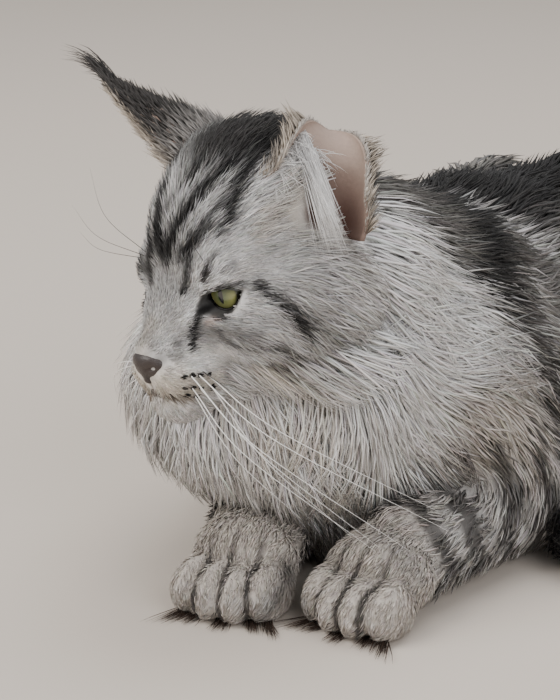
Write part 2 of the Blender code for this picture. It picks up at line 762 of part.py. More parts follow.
def lock_routes(roots, forms, lock, rng, blend, floor):
    """Points along each lock, from inside the core, up through the coat and out to the tip."""
    count = len(roots)
    lies = np.array([lie_of(f) for f in forms])
    coats = np.array([f.coat for f in forms])
    bends = rng.uniform(-lock.stray, lock.stray, (count, 2))
    lengths = lock.length * rng.uniform(0.82, 1.18, count)
    places = np.array(roots)
    normals = steepest(places, forms, blend)
    route = [places - normals * lock.sink]
    for step in range(1, LOCK_SPANS + 1):
        share = step / LOCK_SPANS
        near = nearness(places, forms)
        ahead = along_surface(near @ lies, normals)
        turn = (bends[:, 0] + bends[:, 1] * (share * 2 - 1))[:, None]
        ahead = ahead * np.cos(turn) + np.cross(normals, ahead) * np.sin(turn)
        places = places + ahead * (lengths / LOCK_SPANS)[:, None]
        depth = near @ coats * (CORE_SHARE + (1.0 - CORE_SHARE) * share**0.7 * lock.rise) + 0.002
        for _ in range(2):
            normals = steepest(places, forms, blend)
            places = places + normals * (depth - flesh(places, forms, blend, 0.0))[:, None] * 0.9
        places[:, 2] = np.maximum(places[:, 2], floor + lock.thickness * 0.5 * (1.0 - share))
        route.append(places.copy())
    return np.stack(route, axis=1)


def lock_solid(route, outward, width, thickness):
    """One flat, tapered, three-sided lock along its route, with a ridge on its outer face."""
    points = []
    for i in range(LOCK_SPANS):
        ahead = route[i + 1] - route[max(i - 1, 0)]
        ahead /= np.linalg.norm(ahead)
        across = np.cross(ahead, outward[i])
        across /= np.linalg.norm(across)
        rise = np.cross(across, ahead)
        half, thick = width * LOCK_WIDTHS[i] / 2, thickness * LOCK_THICKS[i]
        points += [
            route[i] - across * half - rise * thick * 0.4,
            route[i] + across * half - rise * thick * 0.4,
            route[i] + rise * thick * 0.6,
        ]
    points.append(route[LOCK_SPANS])
    tip, last = len(points) - 1, (LOCK_SPANS - 1) * 3
    faces = [(2, 1, 0)]
    for i in range(LOCK_SPANS - 1):
        for k in range(3):
            a, b = i * 3 + k, i * 3 + (k + 1) % 3
            faces += [(a, b, b + 3), (a, b + 3, a + 3)]
    faces += [(last + k, last + (k + 1) % 3, tip) for k in range(3)]
    return mesh_from("lock", points, faces)


def spread_points(obj, count, spacing, keep, rng):
    """Random places on a mesh, at least spacing apart, where keep says yes."""
    mesh = obj.data
    mesh.calc_loop_triangles()
    corners = np.array([[mesh.vertices[v].co for v in t.vertices] for t in mesh.loop_triangles])
    areas = np.linalg.norm(np.cross(corners[:, 1] - corners[:, 0], corners[:, 2] - corners[:, 0]), axis=1)
    picks = rng.choice(len(areas), size=count, p=areas / areas.sum())
    a, b = rng.random((2, count, 1))
    root = np.sqrt(a)
    tried = corners[picks, 0] * (1 - root) + corners[picks, 1] * root * (1 - b) + corners[picks, 2] * root * b
    chosen = []
    for place in tried[keep(tried)]:
        if all(np.linalg.norm(place - other) > spacing for other in chosen):
            chosen.append(place)
    return np.array(chosen)


def locks_on(core, forms, lock, blend, keep, seed, floor=FLOOR_CLEAR):
    """Locks of one kind, set all over a core where keep says yes."""
    rng = np.random.default_rng(seed)
    roots = spread_points(core, ROOT_TRIES, lock.spacing, keep, rng)
    routes = lock_routes(roots, forms, lock, rng, blend, floor)
    outward = steepest(routes, forms, blend)
    return [lock_solid(r, o, lock.width, lock.thickness) for r, o in zip(routes, outward)]


def free_lock(points, width, thickness, facing):
    """A lock through given points, its flat side turned to facing."""
    curve = np.array([tuple(p) for p in smooth_route(points, 2)])
    marks = np.linspace(0, len(curve) - 1, LOCK_SPANS + 1)
    route = np.stack([np.interp(marks, range(len(curve)), curve[:, k]) for k in range(3)], axis=-1)
    outward = np.tile(np.array(tuple(facing)), (LOCK_SPANS + 1, 1))
    return lock_solid(route, outward, width, thickness)


def clear_of(points, forms, share, margin, matrix=None):
    """Whether each point lies outside the forms by a margin; matrix is the forms' own frame."""
    if matrix is not None:
        inverse = np.array(matrix.inverted())
        points = points @ inverse[:3, :3].T + inverse[:3, 3]
    return flesh(points, forms, MUSCLE_BLEND, share) > margin


def body_locks(body):
    """The ruff and bib round the neck, and the long coat of the back and flanks."""
    def bare(points):
        free = (points[:, 2] > BODY_ROOTS_FROM) & clear_of(points, HEAD, CORE_SHARE, 0.004, HEAD_PLACE)
        for other in (LEFT_ARM, RIGHT_ARM, LEFT_THIGH, RIGHT_THIGH, TAIL):
            free &= clear_of(points, other, CORE_SHARE, 0.002)
        return free

    def ruff(points):
        return bare(points) & (points[:, 1] + RUFF_SLOPE * points[:, 2] < RUFF_EDGE)

    def flank(points):
        return bare(points) & (points[:, 1] + RUFF_SLOPE * points[:, 2] >= RUFF_EDGE)

    return locks_on(body, BODY, RUFF_LOCK, MUSCLE_BLEND, ruff, 11) + locks_on(
        body, BODY, FLANK_LOCK, MUSCLE_BLEND, flank, 12
    )


def limb_locks(core, forms, lock, seed, low=LIMB_ROOTS_FROM):
    """The coat of a thigh, a leg or the tail."""
    def bare(points):
        return (points[:, 2] > low) & clear_of(points, BODY, CORE_SHARE, 0.002)

    return locks_on(core, forms, lock, LIMB_BLEND, bare, seed)


def cheek_locks(core):
    """Locks of the cheeks and the back of the skull, in the head's frame until placed."""
    def cheek(points):
        x, y, z = np.abs(points[:, 0]), points[:, 1], points[:, 2]
        side = (x > 0.014) & (y < -0.018) & (z < 0.004)
        return side | ((y < -0.070) & (z < 0.030))

    made = locks_on(core, HEAD, CHEEK_LOCK, HEAD_BLEND, cheek, 23, floor=-1.0)
    return [placed(lock, HEAD_PLACE) for lock in made]


def ear_locks(side):
    """The tuft at an ear's tip and the long hair that crosses its opening, in the head's frame until placed."""
    base, axis, facing, across = ear_frame(side)
    along = axis.normalized()
    bend = Vector((side * TUFT_BEND[side][0], TUFT_BEND[side][1], TUFT_BEND[side][2])).normalized()
    middle, onward, face, _ = ear_bent(side, 0.94)
    tip = middle - face * EAR_TIP_DEPTH
    made = []
    for spread, share in ((-0.16, 0.7), (0.06, 1.0), (0.24, 0.8)):
        length = TUFT_LENGTH[side] * share
        ahead = (onward + across * spread + bend * 0.25).normalized()
        root = tip - onward * axis.length * 0.10
        points = [root, tip + ahead * length * 0.45, tip + ahead * length * 0.7 + bend * length * 0.6]
        made.append(free_lock(points, *TIP_TUFT, face))
    # The rim nearer the crown carries the long hair, and turn is positive on the across side
    medial = 1.0 if side * across.x < 0 else -1.0
    lateral = across * -medial
    for up, reach in ((0.14, 0.036), (0.34, 0.047), (0.54, 0.040)):
        root = ear_point(side, up, 0.93 * medial, EAR_THICK * 0.5)
        points = [
            root,
            root + facing * 0.008 + lateral * reach * 0.40 - along * reach * 0.12,
            root + facing * 0.012 + lateral * reach * 0.70 - along * reach * 0.62,
        ]
        made.append(free_lock(points, *EAR_HAIR, facing))
    return [placed(lock, HEAD_PLACE) for lock in made]


def toe_tufts(paw):
    """Short tufts that come out between the toes and lie on the floor."""
    toes = paw[2:]
    ahead = Vector(toes[0].lie)
    made = []
    for first, second in ((toes[0], toes[1]), (toes[2], toes[3])):
        root = (Vector(first.start) + Vector(second.start)) / 2
        root.z = 0.0045
        reach = toes[1].radii[1] + TOE_TUFT_REACH
        points = [root, root + ahead * reach * 0.6, root + ahead * reach + (root - Vector(toes[0].start)) * 0.1]
        points[1].z, points[2].z = 0.0035, 0.0025
        made.append(free_lock(points, *TOE_TUFT, (0, 0, 1)))
    return made


def whole_cat():
    """The whole animal, without its eyes, as one closed surface."""
    body = surface("body", BODY, BODY_GRAIN)
    others = body_locks(body)
    head = surface("head_core", HEAD, HEAD_GRAIN)
    others += cheek_locks(head) + [placed(head, HEAD_PLACE)]
    others.append(placed(surface("leather", (LEATHER,), LEATHER_GRAIN), HEAD_PLACE))
    for side in (-1.0, 1.0):
        lids = ball((0, 0, 0), (EYE_RADIUS + LID_THICK,) * 3, "lids", 14, 8)
        others += [placed(lids, eye_place(side)), ear(side, "ear")] + ear_locks(side)
    for seed, arm, paw in ((35, LEFT_ARM, LEFT_PAW), (36, RIGHT_ARM, RIGHT_PAW)):
        core = surface("arm", arm, ARM_GRAIN)
        others += limb_locks(core, arm, LEG_LOCK, seed) + [core]
        others += [surface("paw", paw, PAW_GRAIN)] + toe_tufts(paw)
    for seed, thigh, foot in ((43, LEFT_THIGH, LEFT_FOOT), (44, RIGHT_THIGH, RIGHT_FOOT)):
        core = surface("thigh", thigh, THIGH_GRAIN)
        others += limb_locks(core, thigh, THIGH_LOCK, seed) + [core]
        others.append(surface("foot", foot, FOOT_GRAIN))
    tail = surface("tail", TAIL, TAIL_GRAIN)
    others += limb_locks(tail, TAIL, TAIL_LOCK, 51, low=TAIL_ROOTS_FROM) + [tail]
    whole = combine(body, others, "UNION")
    cuts = [block((0, 0.15, -0.5), (1.0, 1.0, 0.5), name="floor")]
    cuts += mouth_groove()
    for side in (-1.0, 1.0):
        cuts += [lid_opening(side), nostril(side)]
        socket = ball((0, 0, 0), (EYE_RADIUS + GAP * 2,) * 3, "socket", 14, 8)
        cuts.append(placed(socket, eye_place(side)))
    return triangulated(combine(whole, cuts, "DIFFERENCE"))


def leg_frame(start, end):
    """A frame at the middle of a limb, its y axis along it."""
    middle = (Vector(start) + Vector(end)) / 2
    return facing_matrix(middle, Vector(end) - Vector(start), (0, 0, 1))


def regions():
    """The blocks that part the whole into nodes, in order, each as a function of how far it is grown."""
    def head_block(grow):
        return block((0.0, 0.046, 0.0), (0.10, 0.100, 0.12), HEAD_PLACE, grow)

    def ear_block(side):
        base, axis, facing, across = ear_frame(side)
        outward = 1.0 if side * across.x > 0 else -1.0
        matrix = HEAD_PLACE @ facing_matrix(base, axis, facing)
        centre, half = EAR_BLOCK[side]
        return lambda grow: block((centre[0] * outward, centre[1], centre[2]), half, matrix, grow)

    def limb(start, end, half):
        matrix = leg_frame(start, end)
        return lambda grow: block((0, 0, 0), half, matrix, grow)

    def plain(centre, half):
        return lambda grow: block(centre, half, None, grow)

    def neck_block(grow):
        matrix = facing_matrix((0.0, 0.004, 0.110), (-0.10, -1.0, 0.30), (0, 0, 1))
        return block((0.0, 0.10, 0.0), (0.20, 0.10, 0.099), matrix, grow)

    return (
        ("ear_right", ear_block(1.0)),
        ("ear_left", ear_block(-1.0)),
        ("head", head_block),
        ("forepaw_left", plain((0.066, -0.101, 0.02), (0.0385, 0.046, 0.06))),
        ("forepaw_right", plain((-0.010, -0.112, 0.02), (0.0372, 0.046, 0.06))),
        ("foreleg_left", plain((0.080, 0.005, 0.020), (0.040, 0.0597, 0.036))),
        ("foreleg_right", limb((-0.080, 0.050, 0.02), (-0.014, -0.066, 0.02), (0.030, 0.063, 0.034))),
        ("tail_tip", plain((0.161, 0.038, 0.05), (0.0580, 0.0620, 0.07))),
        ("tail_end", plain((0.167, 0.1503, 0.05), (0.0580, 0.0500, 0.07))),
        ("tail_middle", plain((0.173, 0.2486, 0.05), (0.0580, 0.0480, 0.07))),
        ("tail_bend", plain((0.170, 0.3579, 0.05), (0.0580, 0.0610, 0.07))),
        ("tail_root", plain((0.046, 0.4020, 0.05), (0.0657, 0.0580, 0.08))),
        ("hindfoot_left", plain((0.090, 0.185, 0.02), (0.0240, 0.0480, 0.020))),
        ("hindfoot_right", plain((-0.090, 0.185, 0.02), (0.0290, 0.0480, 0.020))),
        ("hindleg_left", plain((0.100, 0.250, 0.07), (0.050, 0.090, 0.09))),
        ("hindleg_right", plain((-0.100, 0.250, 0.07), (0.050, 0.090, 0.09))),
        ("neck", neck_block),
    )


def eyeball(side, name):
    """One eye, filling its socket."""
    return placed(ball((0, 0, 0), (EYE_RADIUS,) * 3, name, 14, 8), eye_place(side))


def main():
    """Builds the whole cat, parts it into its nodes, and adds the eyes."""
    clear_scene()
    fur = material("silver_coat", (0.42, 0.41, 0.40), 0.85)
    dark_fur = material("black_coat", (0.05, 0.045, 0.045), 0.85)
    eye = material("eye", (0.50, 0.52, 0.22), 0.10)
    rest = whole_cat()
    for name, region in regions():
        piece = copy_of(rest, name)
        combine(piece, [region(0.0)], "INTERSECT")
        combine(rest, [region(GAP)], "DIFFERENCE")
        largest_piece(triangulated(piece))
        piece.data.materials.clear()
        piece.data.materials.append(dark_fur if name.startswith("tail") else fur)
    rest.name = "torso"
    largest_piece(triangulated(rest))
    rest.data.materials.clear()
    rest.data.materials.append(fur)
    for side, name in ((1.0, "eye_right"), (-1.0, "eye_left")):
        made = eyeball(side, name)
        made.data.materials.append(eye)


main()
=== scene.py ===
"""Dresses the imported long-haired cat: one skin under its solids, a coat of tufts, eyes, ears and whiskers.

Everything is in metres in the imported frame: the cat faces -Y, its left side is +X, and it rests on z = 0.
The head has a frame of its own: x to the cat's right, y forward, z up, from the point between its eyes.
"""

import logging
import math
from collections.abc import Callable
from dataclasses import dataclass
from enum import Enum

import bmesh
import bpy
import numpy as np
import openvdb
from bpy.types import Material, Node, NodeSocket, NodeTree, Object
from mathutils import Matrix, Vector
from mathutils.kdtree import KDTree


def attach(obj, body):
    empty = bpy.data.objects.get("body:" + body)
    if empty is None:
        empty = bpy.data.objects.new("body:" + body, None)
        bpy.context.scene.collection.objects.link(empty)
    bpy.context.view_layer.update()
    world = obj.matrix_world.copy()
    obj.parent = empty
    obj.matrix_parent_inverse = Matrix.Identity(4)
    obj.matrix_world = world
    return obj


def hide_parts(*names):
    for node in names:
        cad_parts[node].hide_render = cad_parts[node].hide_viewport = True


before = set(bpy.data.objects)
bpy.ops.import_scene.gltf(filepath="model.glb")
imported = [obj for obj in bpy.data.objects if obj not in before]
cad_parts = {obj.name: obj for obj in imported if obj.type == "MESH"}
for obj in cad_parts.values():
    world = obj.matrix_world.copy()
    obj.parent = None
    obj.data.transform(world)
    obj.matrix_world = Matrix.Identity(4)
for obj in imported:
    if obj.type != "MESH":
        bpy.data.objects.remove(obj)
log = logging.getLogger("cat")

# Shares of the coat's depth at which the skin lies, the tufts are rooted and the marks were laid
SKIN_SHARE = 0.46
ROOT_SHARE = 0.30
MARK_SHARE = 0.8

# How far the skin stays above the floor, and a length and a distance that stand for none and for far away
FLOOR_CLEAR = 0.0006
TINY = 1e-9
FAR = 1e9

# The way the hair points, before it is laid along the surface
LIE_FLANK = (0.0, 1.0, -0.42)
LIE_RUFF = (0.0, 0.5, -0.8)
LIE_BIB = (0.0, -0.15, -1.0)
LIE_THIGH = (0.0, 0.75, -0.65)
LIE_CHEEK = (0.35, -0.66, -0.72)

# How the head is held
EYE_POINT = (-0.017, -0.120, 0.165)
HEAD_TURN = math.radians(16.0)
HEAD_NOD = math.radians(12.0)
HEAD_TILT = math.radians(6.0)

# The eyes and the opening of the lids, with the powers of its upper and lower curves
EYE_CENTRE = (0.0213, -0.0051, -0.0001)
EYE_RADIUS = 0.0112
LID_THICK = 0.0013
EYE_OUTWARD = math.radians(22.0)
EYE_SLANT = math.radians(14.0)
GAZE_OUTWARD = math.radians(19.0)
GAZE_RISE = 0.05
LID_HALF_WIDTH = 0.0106
LID_UPPER = 0.0046
LID_LOWER = 0.0068
LID_FLARE = 0.34
FLARE_START = 0.0085
UPPER_POWER = 2.6
LOWER_POWER = 2.0

# How far the border between ruff and back leans with the height
RUFF_LEAN = 0.55


class Side(Enum):
    """The two sides of the head, as the sign of x in the head's frame."""

    RIGHT = 1.0
    LEFT = -1.0


@dataclass(frozen=True)
class Form:
    """A mass of flesh: an ellipsoid with three radii, or a rounded cone from start to end.

    coat is how deep the hair is over it, hair how long one hair is, and lie the way it points.
    """

    start: tuple
    radii: tuple
    end: tuple | None = None
    coat: float = 0.0
    hair: float = 0.010
    lie: tuple | None = None

    def distance(self, points: np.ndarray, swell: float = 0.0) -> np.ndarray:
        """Distance from the form's surface, grown by swell.

        Args:
            points: places, with x, y and z last.
            swell: how far the surface is moved outwards.

        Returns:
            One signed distance for each point.
        """
        start = np.array(self.start)
        if self.end is None:
            radii = np.array(self.radii) + swell
            offset = points - start
            scaled = np.linalg.norm(offset / radii, axis=-1)
            steepness = np.linalg.norm(offset / radii**2, axis=-1)
            return scaled * (scaled - 1.0) / np.maximum(steepness, 1e-9)
        axis = np.array(self.end) - start
        along = np.clip((points - start) @ axis / (axis @ axis), 0.0, 1.0)
        near = start + along[..., None] * axis
        radius = self.radii[0] + (self.radii[1] - self.radii[0]) * along
        return np.linalg.norm(points - near, axis=-1) - radius - swell

    def direction(self) -> np.ndarray:
        """The unit direction in which the hair points."""
        lie = self.lie
        if lie is None:
            lie = np.array(self.end) - np.array(self.start) if self.end else (0.0, 0.0, -1.0)
        return np.array(lie) / np.linalg.norm(lie)

    def mirrored(self) -> "Form":
        """The same form on the other side of the head."""
        def flip(v: tuple | None) -> tuple | None:
            """The point with its x turned round."""
            return None if v is None else (-v[0], v[1], v[2])

        return Form(flip(self.start), self.radii, flip(self.end), self.coat, self.hair, flip(self.lie))


def smooth_least(first: np.ndarray, second: np.ndarray, blend: float) -> np.ndarray:
    """The lesser of two distances, with the crease between them filled over about blend."""
    overlap = np.maximum(blend - np.abs(first - second), 0.0) / blend
    return np.minimum(first, second) - overlap**2 * blend / 4.0


def unit(vectors: np.ndarray) -> np.ndarray:
    """The vectors, each at length one."""
    return vectors / np.maximum(np.linalg.norm(vectors, axis=-1, keepdims=True), TINY)


def soft_shares(distances: np.ndarray, softness: float) -> np.ndarray:
    """How much each distance along the last axis counts, the least most, adding up to one."""
    weights = np.exp(-(distances - distances.min(axis=-1, keepdims=True)) / softness)
    return weights / weights.sum(axis=-1, keepdims=True)


def into_frame(points: np.ndarray, matrix: Matrix) -> np.ndarray:
    """Points of the room, in a frame of their own."""
    inverse = np.array(matrix.inverted())
    return points @ inverse[:3, :3].T + inverse[:3, 3]


@dataclass(frozen=True)
class Flesh:
    """Joined forms of one part of the body, in the room's frame or in a frame of their own."""

    forms: tuple
    blend: float
    softness: float = 0.012
    place: Matrix | None = None

    def local(self, points: np.ndarray) -> np.ndarray:
        """The points in the forms' own frame."""
        return points if self.place is None else into_frame(points, self.place)

    def depth(self, points: np.ndarray, share: float = 0.0) -> np.ndarray:
        """Distance from the forms, each grown by a share of its coat.

        Args:
            points: places in the room.
            share: how much of each coat's depth is counted as flesh.

        Returns:
            One signed distance for each point.
        """
        places = self.local(points)
        total = None
        for form in self.forms:
            distance = form.distance(places, form.coat * share)
            total = distance if total is None else smooth_least(total, distance, self.blend)
        return total

    def outward(self, points: np.ndarray, step: float = 0.0008) -> np.ndarray:
        """The unit direction away from the flesh.

        Args:
            points: places in the room.
            step: how far to either side the distance is compared.

        Returns:
            One direction for each point.
        """
        shifts = np.eye(3) * step
        slopes = [self.depth(points + shift) - self.depth(points - shift) for shift in shifts]
        return unit(np.stack(slopes, axis=-1))

    def shares(self, points: np.ndarray) -> np.ndarray:
        """How much each form counts at each point, adding up to one."""
        places = self.local(points)
        return soft_shares(np.stack([form.distance(places) for form in self.forms], axis=-1), self.softness)

    def lies(self) -> np.ndarray:
        """The direction of the hair on each form, in the room's frame."""
        made = np.array([form.direction() for form in self.forms])
        return made if self.place is None else made @ np.array(self.place)[:3, :3].T

    def reach(self) -> tuple[np.ndarray, np.ndarray]:
        """The corners of a box round the forms with all of their coat, in the room's frame."""
        ends = [np.array(f.start) for f in self.forms] + [np.array(f.end) for f in self.forms if f.end]
        if self.place is not None:
            turn = np.array(self.place)
            ends = [turn[:3, :3] @ end + turn[:3, 3] for end in ends]
        far = max(max(f.radii) + f.coat for f in self.forms) + 0.004
        return np.min(ends, axis=0) - far, np.max(ends, axis=0) + far


def axes_matrix(point: tuple | Vector, ahead: tuple | Vector, up: tuple | Vector) -> Matrix:
    """A frame at a point, y ahead.

    Args:
        point: its origin.
        ahead: the way of its y axis.
        up: the way that its z axis keeps nearest to.

    Returns:
        The matrix from the frame to the room.
    """
    ahead = Vector(ahead).normalized()
    right = ahead.cross(Vector(up)).normalized()
    matrix = Matrix((right, ahead, right.cross(ahead))).transposed().to_4x4()
    matrix.translation = Vector(point)
    return matrix


def head_matrix() -> Matrix:
    """From the head's frame to the room."""
    turn_c, turn_s = math.cos(HEAD_TURN), math.sin(HEAD_TURN)
    nod_c, nod_s = math.cos(HEAD_NOD), math.sin(HEAD_NOD)
    ahead = Vector((-turn_s * nod_c, -turn_c * nod_c, -nod_s))
    right = Vector((-turn_c, turn_s, 0.0))
    up = right.cross(ahead)
    tilt_c, tilt_s = math.cos(HEAD_TILT), math.sin(HEAD_TILT)
    right, up = right * tilt_c - up * tilt_s, right * tilt_s + up * tilt_c
    matrix = Matrix((right, ahead, up)).transposed().to_4x4()
    matrix.translation = Vector(EYE_POINT)
    return matrix


HEAD_PLACE = head_matrix()


def eye_matrix(side: Side) -> Matrix:
    """The eye's frame in the room, y along its gaze."""
    sign = side.value
    ahead = (sign * math.sin(EYE_OUTWARD), math.cos(EYE_OUTWARD), 0.0)
    up = (-sign * math.sin(EYE_SLANT), 0.0, math.cos(EYE_SLANT))
    centre = (sign * EYE_CENTRE[0], EYE_CENTRE[1], EYE_CENTRE[2])
    return HEAD_PLACE @ axes_matrix(centre, ahead, up)


def to_room(points: np.ndarray, matrix: Matrix = HEAD_PLACE) -> np.ndarray:
    """Points of a frame, in the room."""
    turn = np.array(matrix)
    return np.asarray(points) @ turn[:3, :3].T + turn[:3, 3]


def lid_distance(eye: np.ndarray, widening: float = LID_FLARE) -> np.ndarray:
    """How far points of the eye's frame lie outside the almond opening of the lids.

    Args:
        eye: places in the eye's frame.
        widening: how fast the opening flares outward.

    Returns:
        One distance for each point, negative inside the opening.
    """
    flare = np.maximum(eye[..., 1] - FLARE_START, 0.0) * widening
    across = np.minimum(np.abs(eye[..., 0]) / (LID_HALF_WIDTH + flare * 0.5), 1.2)
    upper = (LID_UPPER + flare) * (1 - across**UPPER_POWER)
    lower = -(LID_LOWER + flare * 0.5) * (1 - across**LOWER_POWER)
    return np.maximum(eye[..., 2] - upper, lower - eye[..., 2])


def eye_local(points: np.ndarray, side: Side) -> np.ndarray:
    """Points of the room in the eye's frame."""
    return into_frame(points, eye_matrix(side))


# Flesh of the body
TORSO = (
    Form((0.000, 0.045, 0.074), (0.061, 0.085, 0.074), coat=0.026, hair=0.046, lie=LIE_FLANK),
    Form((0.000, 0.125, 0.072), (0.066, 0.095, 0.076), coat=0.026, hair=0.048, lie=LIE_FLANK),
    Form((0.002, 0.195, 0.066), (0.072, 0.095, 0.069), coat=0.026, hair=0.050, lie=LIE_FLANK),
    Form((0.004, 0.275, 0.068), (0.058, 0.070, 0.066), coat=0.026, hair=0.050, lie=LIE_FLANK),
    Form((0.040, 0.035, 0.092), (0.030, 0.055, 0.054), coat=0.018, hair=0.040, lie=LIE_FLANK),
    Form((-0.040, 0.035, 0.092), (0.030, 0.055, 0.054), coat=0.018, hair=0.040, lie=LIE_FLANK),
)
NECK = (
    Form((-0.020, -0.052, 0.096), (0.054, 0.036, 0.037), coat=0.026, hair=0.046, lie=LIE_BIB),
    Form((0.000, 0.050, 0.094), (0.053, 0.040), end=(-0.005, -0.039, 0.147), coat=0.028, hair=0.044,
         lie=LIE_RUFF),
    Form((0.000, 0.010, 0.055), (0.046, 0.034), end=(-0.014, -0.048, 0.108), coat=0.028, hair=0.046,
         lie=LIE_RUFF),
)

# Half width, half length and half height of a toe
FORE_TOE = (0.0080, 0.0150, 0.0122)
HIND_TOE = (0.0072, 0.0135, 0.0105)

# Where the toes lie side by side, how far apart in half widths, and how far the outer two reach
TOE_PLACES = (-1.5, -0.5, 0.5, 1.5)
TOE_PITCH = 1.52
OUTER_REACH = 0.88
KNUCKLE_SHARE = 0.45


def paw_forms(wrist: tuple, toe: tuple, toe_radii: tuple) -> tuple:
    """A paw: its back, the knuckles, and four toes side by side, of which the middle two reach furthest.

    Args:
        wrist: where the paw begins.
        toe: the middle of its longest toes.
        toe_radii: half width, half length and half height of a toe.

    Returns:
        Its forms: back, knuckles, then the toes.
    """
    wrist, toe = Vector(wrist), Vector(toe)
    ahead = (toe - wrist).normalized()
    across = Vector((0.0, 0.0, 1.0)).cross(ahead).normalized()
    length = (toe - wrist).length
    width, reach, height = toe_radii
    knuckle = wrist + ahead * length * KNUCKLE_SHARE
    forms = [
        Form(tuple(wrist), (width * 2.4, width * 2.3), end=tuple(knuckle), coat=0.0045, hair=0.0090),
        Form(tuple(knuckle), (width * 3.1, reach * 1.1, height * 1.35), coat=0.0042, hair=0.0075,
             lie=tuple(ahead - Vector((0.0, 0.0, 0.25)))),
    ]
    for place in TOE_PLACES:
        far = OUTER_REACH if abs(place) > 1.0 else 1.0
        centre = wrist + across * place * width * TOE_PITCH + ahead * length * far
        centre.z = height
        lie = ahead - Vector((0.0, 0.0, 0.55))
        forms.append(Form(tuple(centre), toe_radii, coat=0.0028, hair=0.0062, lie=tuple(lie)))
    return tuple(forms)


def fore_leg(sign: float, wrist: tuple, toe: tuple) -> tuple[tuple, tuple]:
    """Flesh of one foreleg.

    Args:
        sign: 1 on the cat's left, -1 on its right.
        wrist: where the paw begins.
        toe: the middle of its longest toes.

    Returns:
        The forms down to the wrist, and those of the paw.
    """
    shoulder, elbow = (sign * 0.052, 0.005, 0.080), (sign * 0.074, 0.045, 0.032)
    arm = (
        Form(shoulder, (0.030, 0.024), end=elbow, coat=0.011, hair=0.022),
        Form(elbow, (0.022, 0.0185), end=wrist, coat=0.010, hair=0.016),
    )
    return arm, paw_forms(wrist, toe, FORE_TOE)


def hind_leg(sign: float) -> tuple[tuple, tuple]:
    """Flesh of a folded hind leg, then of its foot, which lies flat beside the belly."""
    heel, wrist = (sign * 0.084, 0.285, 0.020), (sign * 0.086, 0.205, 0.020)
    toe = (sign * 0.084, 0.162, 0.013)
    thigh = (
        Form((sign * 0.062, 0.262, 0.072), (0.038, 0.062, 0.058), coat=0.020, hair=0.040, lie=LIE_THIGH),
        Form((sign * 0.078, 0.215, 0.040), (0.030, 0.020), end=heel, coat=0.012, hair=0.028, lie=LIE_THIGH),
    )
    sole = Form(heel, (0.016, 0.017), end=wrist, coat=0.005, hair=0.011)
    foot = (sole,) + paw_forms(wrist, toe, HIND_TOE)
    return thigh, foot


LEFT_ARM, LEFT_PAW = fore_leg(1.0, (0.059, -0.055, 0.025), (0.0555, -0.098, 0.016))
RIGHT_ARM, RIGHT_PAW = fore_leg(-1.0, (-0.014, -0.070, 0.025), (-0.003, -0.116, 0.016))
LEFT_THIGH, LEFT_FOOT = hind_leg(1.0)
RIGHT_THIGH, RIGHT_FOOT = hind_leg(-1.0)

# The tail leaves the rump, comes round the left hip and lies along the left side
TAIL_ROUTE = (
    (0.008, 0.312, 0.066),
    (0.050, 0.360, 0.036),
    (0.104, 0.360, 0.022),
    (0.145, 0.322, 0.020),
    (0.162, 0.260, 0.020),
    (0.160, 0.190, 0.020),
    (0.148, 0.122, 0.020),
    (0.133, 0.064, 0.019),
    (0.122, 0.030, 0.018),
)
TAIL_FLESH = (0.014, 0.012, 0.010, 0.009, 0.008, 0.007, 0.006, 0.005, 0.004)
TAIL_COAT = (0.018, 0.026, 0.030, 0.033, 0.035, 0.036, 0.035, 0.031, 0.020)


def smooth_route(points: tuple, per_span: int) -> list[Vector]:
    """Points along a smooth curve.

    Args:
        points: places that the curve passes through.
        per_span: points made for each stretch between two of them.

    Returns:
        The points, with the last place at the end.
    """
    route = [Vector(p) for p in points]
    padded = [route[0] * 2 - route[1]] + route + [route[-1] * 2 - route[-2]]
    made = []
    for i in range(1, len(padded) - 2):
        p0, p1, p2, p3 = padded[i - 1 : i + 3]
        for step in range(per_span):
            t = step / per_span
            made.append(
                0.5 * (2 * p1 + (p2 - p0) * t + (2 * p0 - 5 * p1 + 4 * p2 - p3) * t**2
                       + (3 * p1 - p0 - 3 * p2 + p3) * t**3)
            )
    return made + [route[-1]]


def tail_forms() -> tuple:
    """Short rounded cones along the tail's route."""
    route = smooth_route(TAIL_ROUTE, 2)
    marks = np.linspace(0.0, len(TAIL_ROUTE) - 1.0, len(route))
    radius = np.interp(marks, range(len(TAIL_FLESH)), TAIL_FLESH)
    coat = np.interp(marks, range(len(TAIL_COAT)), TAIL_COAT)
    return tuple(
        Form(tuple(route[i]), (radius[i], radius[i + 1]), end=tuple(route[i + 1]),
             coat=(coat[i] + coat[i + 1]) / 2, hair=0.050)
        for i in range(len(route) - 1)
    )


TAIL = tail_forms()

